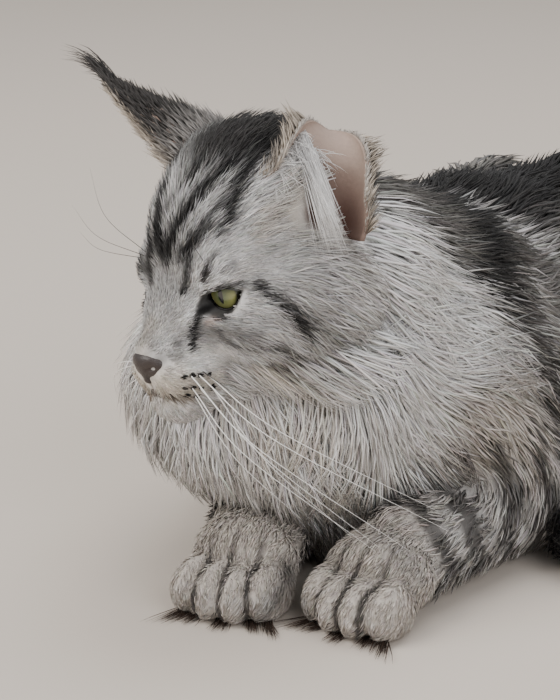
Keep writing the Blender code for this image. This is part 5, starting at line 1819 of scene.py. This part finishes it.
@dataclass
class Nose:
    """The bare leather of the nose with its nostrils."""

    cell: float = 0.00045
    blend: float = 0.002
    hole_blend: float = 0.0008
    half_size: float = 0.014
    finish: BareFinish = BareFinish(
        "nose_leather", (0.012, 0.009, 0.008), (0.042, 0.027, 0.023), 0.46, 1500.0, 0.6, 0.25
    )

    def depth(self, points: np.ndarray) -> np.ndarray:
        """Distance from the leather: a rounded triangle, cut by two comma-shaped nostrils."""
        local = HEAD_FLESH.local(points)
        total = LEATHER[0].distance(local)
        for form in LEATHER[1:]:
            total = smooth_least(total, form.distance(local), self.blend)
        for sign in (1.0, -1.0):
            wing = Form((sign * 0.0074, 0.0338, -0.0228), (0.0036, 0.0050, 0.0036))
            inner = Form((sign * 0.0040, 0.0362, -0.0256), (0.0042, 0.0036, 0.0038))
            for form in (wing, inner):
                total = smooth_least(total, form.distance(local), self.blend)
            start, end = (sign * 0.0036, 0.0412, -0.0246), (sign * 0.0070, 0.0394, -0.0238)
            hole = Form(start, (0.0006, 0.0010), end=end)
            total = -smooth_least(-total, hole.distance(local), self.hole_blend)
        return total

    def build(self) -> Object:
        """Builds the leather."""
        centre = to_room(np.array(LEATHER[0].start))
        low, high = centre - self.half_size, centre + self.half_size
        return Skin().surface("nose_leather", self.depth, low, high, self.cell, self.finish.make())


# Ears
@dataclass
class Ear:
    """One ear: a cupped shell, fur on its back and rim, and long hair that crosses its opening."""

    side: Side
    base: tuple
    tip: tuple
    facing: tuple
    tuft_bend: tuple
    tuft_length: float
    curl_from: float
    curl: float
    width: float
    tuck: float = 0.68
    cup: float = 0.0190
    thick: float = 0.0020
    skin_tone: tuple = (0.36, 0.272, 0.226)
    # Painted shade: the dark colour deep in the cup, where shade falls
    canal_shade: tuple = (0.085, 0.034, 0.026)
    finish: SkinFinish = SkinFinish("ear_skin", 500.0, 0.75, 0.20)

    def named(self, piece: str) -> str:
        """The name of one piece of this ear."""
        return f"ear_{self.side.name.lower()}_{piece}"

    def medial(self) -> float:
        """The sign, along the way across, of the rim nearer the crown."""
        return 1.0 if self.side.value * self.frame()[3][0] < 0 else -1.0

    def frame(self) -> tuple[Vector, Vector, Vector, Vector]:
        """The base, the axis to the tip, the facing and the way across, in the head's frame."""
        sign = self.side.value
        base, tip, facing = (Vector((sign * v[0], v[1], v[2])) for v in (self.base, self.tip, self.facing))
        axis = tip - base
        facing = (facing - axis * facing.dot(axis) / axis.length_squared).normalized()
        return base, axis, facing, axis.cross(facing).normalized()

    def bent(self, up: np.ndarray) -> tuple[np.ndarray, np.ndarray, np.ndarray]:
        """The middle line, the way on to the tip and the facing at each height, as the upper ear curls back.

        Args:
            up: from 0 at the base to 1 at the tip.

        Returns:
            One point and two unit directions for each height, in the head's frame.
        """
        base, axis, facing, _ = (np.array(v) for v in self.frame())
        length = np.linalg.norm(axis)
        along = axis / length
        radius = length * (1.0 - self.curl_from) / self.curl
        curl = np.maximum(up - self.curl_from, 0.0) / (1.0 - self.curl_from) * self.curl
        height = (np.minimum(up, self.curl_from) * length + radius * np.sin(curl))[..., None]
        rear = (radius * (1.0 - np.cos(curl)))[..., None]
        sine, cosine = np.sin(curl)[..., None], np.cos(curl)[..., None]
        middle = base + along * height - facing * rear
        return middle, along * cosine - facing * sine, facing * cosine + along * sine

    def shell(self, up: np.ndarray, turn: np.ndarray, inset: float) -> np.ndarray:
        """Points of the shell in the head's frame.

        Args:
            up: from 0 at the base to 1 at the tip.
            turn: from -1 at one rim round the back to 1 at the other.
            inset: depth under the outer face.

        Returns:
            One point for each pair.
        """
        middle, _, facing = self.bent(up)
        across = np.array(self.frame()[3])
        turn = turn * (self.tuck + (1.0 - self.tuck) * np.clip(up / 0.24, 0.0, 1.0))
        free = np.clip(1.0 - up, 0.0, 1.0)
        width = self.width * free**0.55
        depth = self.cup * free**0.80 + 0.0015
        reach = np.radians(128.0 - 38.0 * up)
        angle = turn * reach
        back = np.cos(angle) * (depth - inset)
        aside = np.sin(angle) / np.sin(np.minimum(reach, math.pi / 2)) * (width - inset)
        return middle - facing * back[..., None] + across * aside[..., None]

    def encloses(self, points: np.ndarray) -> np.ndarray:
        """Which points of the room lie in the cup, apart from its furry part nearer the crown."""
        base, axis, facing, across = (np.array(v) for v in self.frame())
        offset = HEAD_FLESH.local(points) - base
        length = np.linalg.norm(axis)
        height, aside, front = offset @ axis / length, offset @ across, offset @ facing
        medial = self.medial()
        open_part = (np.abs(aside) < self.width * 0.86) & (aside * medial < self.width * 0.10)
        return open_part & (height > -0.002) & (height < length * 0.9) & (front > -0.016) & (front < 0.008)

    def build_shell(self) -> Object:
        """The shell as a closed mesh, its root sunk in the head, with painted shade deep in its cup."""
        ups, turns = np.linspace(-0.05, 0.985, 34), np.linspace(-1.0, 1.0, 41)
        up, turn = np.meshgrid(ups, turns, indexing="ij")
        held = np.maximum(up, 0.0)
        sink = (np.minimum(up, 0.0)[..., None] * np.array(self.frame()[1]))
        fold = 0.0009 * np.sin(turn * 9.0) * np.clip(1 - up * 1.6, 0.0, 1.0)
        outer = self.shell(held, turn, 0.0) + sink
        inner = self.shell(held, turn * 0.965, self.thick) + sink
        inner = inner + fold[..., None] * np.array(self.frame()[2])
        rows, cols = up.shape
        points = np.concatenate([outer.reshape(-1, 3), inner.reshape(-1, 3)])
        shift = rows * cols
        faces = []
        for r in range(rows - 1):
            for c in range(cols - 1):
                a = r * cols + c
                faces.append((a, a + 1, a + 1 + cols, a + cols))
                faces.append((shift + a, shift + a + cols, shift + a + 1 + cols, shift + a + 1))
        rim = [r * cols for r in range(rows)] + [(rows - 1) * cols + c for c in range(1, cols)]
        rim += [r * cols + cols - 1 for r in range(rows - 2, -1, -1)] + list(range(cols - 2, 0, -1))
        for a, b in zip(rim, rim[1:] + rim[:1]):
            faces.append((a, b, shift + b, shift + a))
        made = mesh_object(self.named("shell"), to_room(points), np.array(faces), self.finish.make())
        # Painted shade: the skin darkens to the canal's colour towards the base and the deep middle of the
        # cup
        deep = np.clip(1.10 - held * 2.0, 0.0, 1.0) * np.clip(1.45 - np.abs(turn), 0.0, 1.0)
        tone = np.array(self.skin_tone) * (1 - deep[..., None]) + np.array(self.canal_shade) * deep[..., None]
        add_values(made, "coat_colour", "FLOAT_COLOR", np.concatenate([tone.reshape(-1, 3)] * 2))
        return outward_faces(made)

    def strands(self, piece: str, start: np.ndarray, ways: np.ndarray, lengths: np.ndarray, width: float,
                tones: np.ndarray, droop: np.ndarray, facing: np.ndarray, rng: np.random.Generator,
                material: Material, spans: int) -> Object:
        """Tufts that bend from their way towards their droop.

        Args:
            piece: what the tufts are called on this ear.
            start: their roots, in the head's frame.
            ways: the way each of them sets out.
            lengths: their lengths.
            width: their middle width.
            tones: their colours.
            droop: the way that each is drawn more and more.
            facing: the way that each tuft's flat side looks.
            rng: source of what varies.
            material: the finish.
            spans: how many stretches each tuft has.

        Returns:
            The tufts as one object.
        """
        route = [start]
        for step in range(1, spans + 1):
            share = step / spans
            route.append(start + (ways * share + droop * share**2) * lengths[:, None])
        route = np.stack(route, axis=1)
        bake = np.stack([rng.random(len(start)), rng.random(len(start))], axis=1) * 0.98 + 0.01
        outward = np.repeat(facing[:, None], spans + 1, axis=1) @ np.array(HEAD_PLACE)[:3, :3].T
        width = width * rng.uniform(0.6, 1.3, len(start))
        return tuft_mesh(self.named(piece), to_room(route), outward, width, tones, bake, rng, material)

    def back_fur(self, rng: np.random.Generator, material: Material) -> Object:
        """Short fur on the ear's back, denser and longer at its base and rim."""
        count = 2800
        up, turn = rng.random(count) ** 1.15 * 1.02 - 0.04, rng.uniform(-1.0, 1.0, count)
        up = np.clip(up, 0.0, 0.985)
        start = self.shell(up, turn, 0.0004)
        other = self.shell(np.clip(up + 0.02, 0.0, 1.0), turn, 0.0004)
        out = unit(self.shell(up, turn, 0.0) - self.shell(up, turn, self.thick))
        ahead = unit(other - start) + rng.normal(0, 0.16, (count, 3))
        lengths = (0.0105 - 0.0045 * up) * rng.uniform(0.7, 1.3, count)
        rim = np.clip((np.abs(turn) - 0.80) / 0.2, 0.0, 1.0)[:, None]
        fade = np.clip(1.0 - up * 3.0, 0.0, 1.0)[:, None] * 0.6
        dark, pale, ticked = (np.array(tone.value) for tone in (Tone.SOOT, Tone.BEIGE, Tone.TICKED))
        tones = dark * (1 - rim) * (1 - fade) + pale * rim + ticked * (1 - rim) * fade
        tones = np.clip(tones * (1 + rng.normal(0, 0.22, (count, 1))), DARKEST, 0.9)
        lift = 0.28 + 0.5 * self.curl * np.clip((up - self.curl_from) / 0.3 + 0.3, 0.0, 1.0)[:, None]
        way, droop = ahead + out * lift, out * 0.10
        return self.strands("back_fur", start, way, lengths, 0.0010, tones, droop, out, rng, material, 2)

    def rim_fur(self, rng: np.random.Generator, material: Material) -> Object:
        """A pale fringe of fine hair along the rim."""
        count = 1100
        up = rng.random(count) * 0.97
        turn = np.where(rng.random(count) < 0.5, -1.0, 1.0) * rng.uniform(0.93, 1.0, count)
        start = self.shell(up, turn, self.thick * 0.5)
        _, along, facing = self.bent(up)
        way = along * 0.8 + facing * 0.45 + rng.normal(0, 0.18, (count, 3))
        lengths = (0.0050 - 0.002 * up) * rng.uniform(0.6, 1.3, count)
        tones = np.clip(np.array(Tone.SAND.value) * rng.uniform(0.65, 1.15, (count, 1)), 0, 0.92)
        droop = -facing * 0.2
        return self.strands("rim_fur", start, way, lengths, 0.00055, tones, droop, facing, rng, material, 2)

    def furnishing(self, rng: np.random.Generator, material: Material) -> Object:
        """The long white hair that springs from the rim nearer the crown and sweeps across the opening."""
        _, axis, facing, across = (np.array(v) for v in self.frame())
        medial = self.medial()
        lateral = -across * medial
        along = axis / np.linalg.norm(axis)
        count = 460
        lock = rng.random(count) < 0.40
        up = np.where(lock, rng.uniform(0.54, 0.70, count), rng.uniform(0.05, 0.60, count))
        turn = medial * np.where(lock, rng.uniform(0.62, 0.74, count), rng.uniform(0.10, 0.95, count))
        start = self.shell(up, turn, self.thick * 0.9)
        aside, onward = rng.uniform(0.25, 0.75, (count, 1)), rng.uniform(-0.5, 0.5, (count, 1))
        way = facing * 0.34 + lateral * aside + along * onward
        swept = facing * 0.30 + lateral * 0.46 - along * 0.72 + rng.normal(0, 0.060, (count, 3))
        way = np.where(lock[:, None], swept, way)
        fall = -along * 0.35 + rng.normal(0, 0.15, (count, 3))
        droop = np.where(lock[:, None], lateral * 0.12 - along * 0.14, fall)
        lengths = np.where(lock, rng.uniform(0.046, 0.058, count), rng.uniform(0.010, 0.024, count))
        tones = np.clip(np.array(Tone.WHITE.value) * rng.uniform(0.85, 1.05, (count, 1)), 0, PALEST)
        out = np.tile(facing, (count, 1))
        return self.strands("furnishing", start, way, lengths, 0.00034, tones, droop, out, rng, material, 4)

    def tip_tuft(self, rng: np.random.Generator, material: Material) -> Object:
        """The tuft at the ear's tip, and the longer dark hair along the upper rim."""
        _, axis, facing, _ = (np.array(v) for v in self.frame())
        along = axis / np.linalg.norm(axis)
        bend = np.array(self.tuft_bend) * np.array((self.side.value, 1.0, 1.0))
        bend = bend / np.linalg.norm(bend)
        count = 190
        at_tip = rng.random(count) < 0.6
        up = np.where(at_tip, rng.uniform(0.90, 0.985, count), rng.uniform(0.62, 0.95, count))
        turn = rng.uniform(-0.9, 0.9, count)
        start = self.shell(up, turn, 0.0)
        far = np.clip((up - 0.62) / 0.36, 0.0, 1.0)
        _, onward, face = self.bent(up)
        way = onward * 0.80 + bend * 0.30 - face * (0.36 + 0.4 * self.curl) + rng.normal(0, 0.08, (count, 3))
        lengths = self.tuft_length * (0.30 + 0.85 * far**2) * rng.uniform(0.6, 1.15, count)
        tones = np.array(Tone.SOOT.value) * rng.uniform(0.4, 1.8, (count, 1))
        out, droop = np.tile(facing, (count, 1)), bend * 0.55 - along * 0.15
        return self.strands("tip_tuft", start, way, lengths, 0.0007, tones, droop, out, rng, material, 4)

    def build(self, material: Material) -> list[Object]:
        """Builds the ear and its hair."""
        rng = np.random.default_rng(61 if self.side is Side.RIGHT else 62)
        furs = (self.back_fur, self.rim_fur, self.furnishing, self.tip_tuft)
        return [self.build_shell()] + [fur(rng, material) for fur in furs]


# Whiskers and tufts
@dataclass
class Bristles:
    """Whiskers or brow hairs, swept along their routes by Geometry Nodes."""

    name: str
    routes: list
    thickness: float
    finish: BristleFinish
    sides: int = 5
    points: int = 18

    def curves(self) -> tuple[np.ndarray, list, np.ndarray]:
        """Points, edges and relative thickness of smooth lines through the routes."""
        places, edges, thick = [], [], []
        for route in self.routes:
            line = smooth_route(route, 8)
            marks = np.linspace(0, len(line) - 1, self.points)
            line = np.array([tuple(p) for p in line])
            line = np.stack([np.interp(marks, range(len(line)), line[:, k]) for k in range(3)], axis=-1)
            start = len(places)
            places += [tuple(p) for p in to_room(line)]
            edges += [(start + i, start + i + 1) for i in range(self.points - 1)]
            thick += list(np.linspace(1.0, 0.12, self.points))
        return np.array(places), edges, np.array(thick)

    def tree(self, material: Material) -> NodeTree:
        """The node tree that sweeps a round profile along the lines."""
        tree = bpy.data.node_groups.new(self.name, "GeometryNodeTree")
        for name, way, kind in (("Geometry", "INPUT", "Geometry"), ("Thickness", "INPUT", "Float"),
                                ("Sides", "INPUT", "Int"), ("Geometry", "OUTPUT", "Geometry")):
            tree.interface.new_socket(name, in_out=way, socket_type=f"NodeSocket{kind}")
        kinds = {
            "given": "NodeGroupInput", "result": "NodeGroupOutput", "lines": "GeometryNodeMeshToCurve",
            "share": "GeometryNodeInputNamedAttribute", "size": "ShaderNodeMath",
            "circle": "GeometryNodeCurvePrimitiveCircle", "sweep": "GeometryNodeCurveToMesh",
            "smooth": "GeometryNodeSetShadeSmooth", "whole": "GeometryNodeRealizeInstances",
            "dress": "GeometryNodeSetMaterial",
        }
        nodes = {name: tree.nodes.new(kind) for name, kind in kinds.items()}
        nodes["share"].data_type = "FLOAT"
        nodes["size"].operation = "MULTIPLY"
        for name, socket, value in (("share", "Name", "thick"), ("circle", "Radius", 1.0),
                                    ("sweep", "Fill Caps", True), ("dress", "Material", material)):
            nodes[name].inputs[socket].default_value = value
        for source, out, target, into in (
            ("given", "Geometry", "lines", "Mesh"), ("share", "Attribute", "size", 0),
            ("given", "Thickness", "size", 1), ("given", "Sides", "circle", "Resolution"),
            ("lines", "Curve", "sweep", "Curve"), ("circle", "Curve", "sweep", "Profile Curve"),
            ("size", 0, "sweep", "Scale"), ("sweep", "Mesh", "smooth", "Geometry"),
            ("smooth", "Geometry", "whole", "Geometry"), ("whole", "Geometry", "dress", "Geometry"),
            ("dress", "Geometry", "result", "Geometry"),
        ):
            tree.links.new(nodes[source].outputs[out], nodes[target].inputs[into])
        return tree

    def build(self) -> Object:
        """Builds the bristles as one mesh."""
        places, edges, thick = self.curves()
        mesh = bpy.data.meshes.new(self.name)
        mesh.from_pydata([tuple(p) for p in places], edges, [])
        layer = mesh.attributes.new("thick", "FLOAT", "POINT")
        layer.data.foreach_set("value", thick.astype(np.float32))
        made = bpy.data.objects.new(self.name, mesh)
        bpy.context.scene.collection.objects.link(made)
        modifier = made.modifiers.new("sweep", "NODES")
        modifier.node_group = self.tree(self.finish.make())
        sizes = {"Thickness": self.thickness, "Sides": self.sides}
        for item in modifier.node_group.interface.items_tree:
            if item.in_out == "INPUT" and item.name in sizes:
                modifier[item.identifier] = sizes[item.name]
        made.update_tag()
        return applied(made)


# Where each whisker starts, where it turns and where it ends, in the head's frame
LEFT_WHISKERS = (
    ((-0.0212, 0.0255, -0.0307), (-0.060, 0.022, -0.058), (-0.116, -0.018, -0.112)),
    ((-0.0205, 0.0293, -0.0296), (-0.054, 0.028, -0.060), (-0.104, -0.004, -0.118)),
    ((-0.0210, 0.0206, -0.0329), (-0.052, 0.012, -0.060), (-0.098, -0.030, -0.112)),
    ((-0.0191, 0.0253, -0.0377), (-0.046, 0.020, -0.070), (-0.074, -0.012, -0.128)),
    ((-0.0189, 0.0294, -0.0358), (-0.044, 0.028, -0.066), (-0.082, -0.002, -0.122)),
    ((-0.0191, 0.0188, -0.0401), (-0.036, 0.012, -0.078), (-0.054, -0.012, -0.126)),
    ((-0.0172, 0.0278, -0.0409), (-0.030, 0.024, -0.072), (-0.044, 0.006, -0.110)),
)
RIGHT_WHISKERS = (
    ((0.0212, 0.0255, -0.0307), (0.045, 0.024, -0.036), (0.088, -0.004, -0.066)),
    ((0.0205, 0.0293, -0.0296), (0.042, 0.030, -0.040), (0.080, 0.006, -0.080)),
    ((0.0191, 0.0253, -0.0377), (0.036, 0.024, -0.054), (0.062, 0.000, -0.098)),
    ((0.0189, 0.0294, -0.0358), (0.038, 0.028, -0.048), (0.072, 0.004, -0.088)),
)
DARK_WHISKERS = (
    ((-0.0212, 0.0230, -0.0300), (-0.030, 0.018, -0.040), (-0.036, 0.008, -0.056)),
    ((0.0212, 0.0230, -0.0300), (0.030, 0.020, -0.034), (0.040, 0.012, -0.040)),
)
BROW_HAIRS = (
    ((0.018, 0.010, 0.019), (0.028, 0.020, 0.040), (0.036, 0.016, 0.062)),
    ((0.020, 0.010, 0.017), (0.036, 0.022, 0.030), (0.056, 0.018, 0.042)),
    ((0.022, 0.009, 0.015), (0.040, 0.020, 0.022), (0.062, 0.014, 0.026)),
    ((-0.022, 0.008, 0.018), (-0.030, 0.016, 0.034), (-0.040, 0.008, 0.050)),
)


@dataclass
class ToeTufts:
    """The dark hair that comes out between the toes and lies on the floor."""

    paws: tuple = (LEFT_PAW, RIGHT_PAW)
    count: int = 44
    width: float = 0.00048
    tone: tuple = (0.050, 0.034, 0.026)
    lowest: float = 0.0012

    def tuft(self, first: Form, second: Form, middle: np.ndarray, rng: np.random.Generator) -> np.ndarray:
        """The hair between two toes, or beside one.

        Args:
            first: one toe.
            second: the other toe, or the same one again.
            middle: the middle of the paw's toes.
            rng: source of what varies.

        Returns:
            The points along each hair, in the room.
        """
        ahead = np.array((first.lie[0], first.lie[1], 0.0))
        ahead /= np.linalg.norm(ahead)
        across = np.array((ahead[1], -ahead[0], 0.0))
        root = (np.array(first.start) + np.array(second.start)) / 2
        fan = float((root - middle) @ across) / 0.020
        spread = rng.normal(0.0, 0.26, (self.count, 1)) + fan * 0.55
        way = ahead + across * spread
        length = rng.uniform(0.010, 0.022, (self.count, 1)) * (1.15 if abs(fan) > 0.7 else 0.85)
        start = root + across * rng.normal(0, 0.0018, (self.count, 1)) + ahead * 0.004
        start[:, 2] = rng.uniform(self.lowest, 0.0034, self.count)
        route = [start]
        for share in (0.33, 0.66, 1.0):
            place = start + way * length * share
            aside = (place - root) @ across - fan * 0.45 * length[:, 0] * share
            place = place - across * (aside * share * 0.35)[:, None]
            place[:, 2] = np.maximum(start[:, 2] * (1 - share * 0.7), self.lowest)
            route.append(place)
        return np.stack(route, axis=1)

    def build(self, material: Material) -> Object:
        """Builds all the tufts as one mesh."""
        rng = np.random.default_rng(71)
        routes = []
        for _, _, *toes in self.paws:
            middle = np.array(toes[1].start) / 2 + np.array(toes[2].start) / 2
            for first, second in ((0, 1), (1, 2), (2, 3), (3, 3), (0, 0)):
                routes.append(self.tuft(toes[first], toes[second], middle, rng))
        route = np.concatenate(routes)
        count = len(route)
        tones = np.array(self.tone) * rng.uniform(0.5, 1.8, (count, 1))
        outward = np.tile(np.array((0.0, 0.0, 1.0)), (count, 4, 1))
        bake = scattered(rng, count)
        width = self.width * rng.uniform(0.6, 1.3, count)
        return tuft_mesh("toe_tufts", route, outward, width, tones, bake, rng, material)


@dataclass
class WhiskerSpots:
    """The rows of dark spots from which the whiskers spring."""

    count: int = 16
    spread: float = 0.00055
    length: float = 0.0021
    width: float = 0.0006
    raised: float = 0.0004

    def build(self, material: Material) -> Object:
        """Builds all the spots as one mesh of very short tufts."""
        rng = np.random.default_rng(73)
        spots = np.array([spot for row in SPOT_ROWS for spot in row])
        spots = np.concatenate([spots, spots * np.array((-1.0, 1.0, 1.0))])
        roots = to_room(np.repeat(spots, self.count, axis=0))
        roots = roots + rng.normal(0.0, self.spread, roots.shape)
        normals = HEAD_FLESH.outward(roots)
        roots = roots - normals * HEAD_FLESH.depth(roots, 0.9)[:, None]
        back = np.array(HEAD_PLACE)[:3, :3] @ np.array((0.0, -1.0, -0.25))
        way = back - (normals @ back)[:, None] * normals * 0.9
        steps = np.array((0.0, 0.5, 1.0))[None, :, None]
        route = roots[:, None] + (way * self.length)[:, None] * steps + normals[:, None] * self.raised
        outward = np.repeat(normals[:, None], 3, axis=1)
        tones = np.array(Tone.BLACK.value) * rng.uniform(0.8, 2.0, (len(roots), 1))
        bake = scattered(rng, len(roots))
        width = np.full(len(roots), self.width)
        return tuft_mesh("whisker_spots", route, outward, width, tones, bake, rng, material)


# Room
@dataclass
class Studio:
    """The pale floor, the soft lights and the camera."""

    azimuth: float = math.radians(32.0)
    elevation: float = math.radians(18.0)
    distance: float = 1.0
    focal_pixels: float = 2165.0
    eye_pixel: tuple = (196.0, 286.0)
    frame_size: tuple = (560, 700)
    target: tuple = (0.0, 0.02, 0.10)
    floor: FloorFinish = FloorFinish("pale_floor", (0.56, 0.50, 0.44))

    def camera(self) -> Object:
        """The camera at the photograph's place, with its framing."""
        a, e = self.azimuth, self.elevation
        across = Vector((math.cos(a), math.sin(a), 0.0))
        back = Vector((math.sin(a) * math.cos(e), -math.cos(a) * math.cos(e), math.sin(e)))
        up = back.cross(across)
        x = (self.eye_pixel[0] - self.frame_size[0] / 2) / self.focal_pixels
        y = (self.frame_size[1] / 2 - self.eye_pixel[1]) / self.focal_pixels
        data = bpy.data.cameras.new("camera")
        data.sensor_width = 36.0
        data.lens = data.sensor_width * self.focal_pixels / max(self.frame_size)
        data.clip_start, data.clip_end = 0.05, 50.0
        made = bpy.data.objects.new("camera", data)
        matrix = Matrix((across, up, back)).transposed().to_4x4()
        matrix.translation = Vector(EYE_POINT) + (back - across * x - up * y) * self.distance
        made.matrix_world = matrix
        bpy.context.scene.collection.objects.link(made)
        bpy.context.scene.camera = made
        return made

    def light(self, name: str, place: tuple, size: float, power: float, tint: tuple) -> None:
        """A square soft light that looks at the cat's chest."""
        data = bpy.data.lights.new(name, "AREA")
        data.size, data.energy, data.color = size, power, tint
        made = bpy.data.objects.new(name, data)
        made.location = place
        made.rotation_euler = (Vector(self.target) - Vector(place)).to_track_quat("-Z", "Y").to_euler()
        bpy.context.scene.collection.objects.link(made)

    def build(self) -> None:
        """Builds the room."""
        corners = np.array([(-9.0, -6.0, 0.0), (9.0, -6.0, 0.0), (9.0, 12.0, 0.0), (-9.0, 12.0, 0.0)])
        ground = mesh_object("floor", corners, np.array([(0, 1, 2, 3)]), self.floor.make())
        self.light("key_light", (-1.1, -1.6, 1.9), 1.5, 62.0, (1.0, 0.97, 0.93))
        self.light("fill_light", (1.9, -0.9, 1.2), 1.8, 34.0, (0.98, 0.98, 1.0))
        self.light("top_light", (0.1, 0.8, 2.1), 1.6, 30.0, (1.0, 1.0, 1.0))
        world = bpy.data.worlds.new("room_light")
        world.use_nodes = True
        world.node_tree.nodes["Background"].inputs["Color"].default_value = (0.92, 0.93, 0.95, 1.0)
        world.node_tree.nodes["Background"].inputs["Strength"].default_value = 0.55
        bpy.context.scene.world = world
        self.camera()


EARS = (
    Ear(Side.RIGHT, (0.0300, -0.0445, 0.0410), (0.0795, -0.0315, 0.0820), (0.37, 0.65, -0.66),
        (0.90, 0.10, -0.45), 0.034, 0.60, math.radians(10.0), 0.0260, 0.95),
    Ear(Side.LEFT, (0.0405, -0.0420, 0.0225), (0.0425, -0.0800, 0.0695), (0.84, 0.43, 0.32),
        (0.10, -0.95, 0.10), 0.018, 0.40, math.radians(103.0), 0.0285),
)
FLESH_NODES = ("head", "neck", "torso") + tuple(
    f"{part}_{side}" for part in ("foreleg", "forepaw", "hindleg", "hindfoot") for side in ("left", "right")
) + tuple(f"tail_{part}" for part in ("root", "bend", "middle", "end", "tip"))


def settle(pieces: list, nodes: tuple = ()) -> None:
    """Makes pieces ride on the cat's one body.

    Args:
        pieces: the finished pieces.
        nodes: the CAD nodes that each of them stands for.
    """
    for piece in pieces:
        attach(piece, "root")
        if nodes:
            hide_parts(*nodes)
        log.info("%s: %d triangles", piece.name, sum(len(p.vertices) - 2 for p in piece.data.polygons))


def main() -> None:
    """Builds the room, the skin, the coat and the rest of the cat in turn."""
    logging.basicConfig(level=logging.INFO, format="%(message)s")
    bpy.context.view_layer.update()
    Studio().build()
    settle([Skin().build()], FLESH_NODES)
    for side in Side:
        ball, rim = Eye(side).build()
        settle([ball], (f"eye_{side.name.lower()}",))
        settle([rim])
    settle([Nose().build()])
    settle(Pelage().build())
    short_hair = bpy.data.materials["short_hair"]
    for ear in EARS:
        shell, *hair = ear.build(short_hair)
        settle([shell], (f"ear_{ear.side.name.lower()}",))
        settle(hair)
    settle([ToeTufts().build(short_hair), WhiskerSpots().build(short_hair)])
    pale = BristleFinish("whisker_white", (0.80, 0.78, 0.74), (0.92, 0.91, 0.88))
    dark = BristleFinish("whisker_dark", (0.02, 0.018, 0.016), (0.06, 0.05, 0.045))
    settle([
        Bristles("whiskers_left", list(LEFT_WHISKERS), 0.00034, pale).build(),
        Bristles("whiskers_right", list(RIGHT_WHISKERS), 0.00030, pale).build(),
        Bristles("whiskers_dark", list(DARK_WHISKERS), 0.00026, dark).build(),
        Bristles("brow_hairs", list(BROW_HAIRS), 0.00018, dark).build(),
    ])


if __name__ == "__main__":
    main()
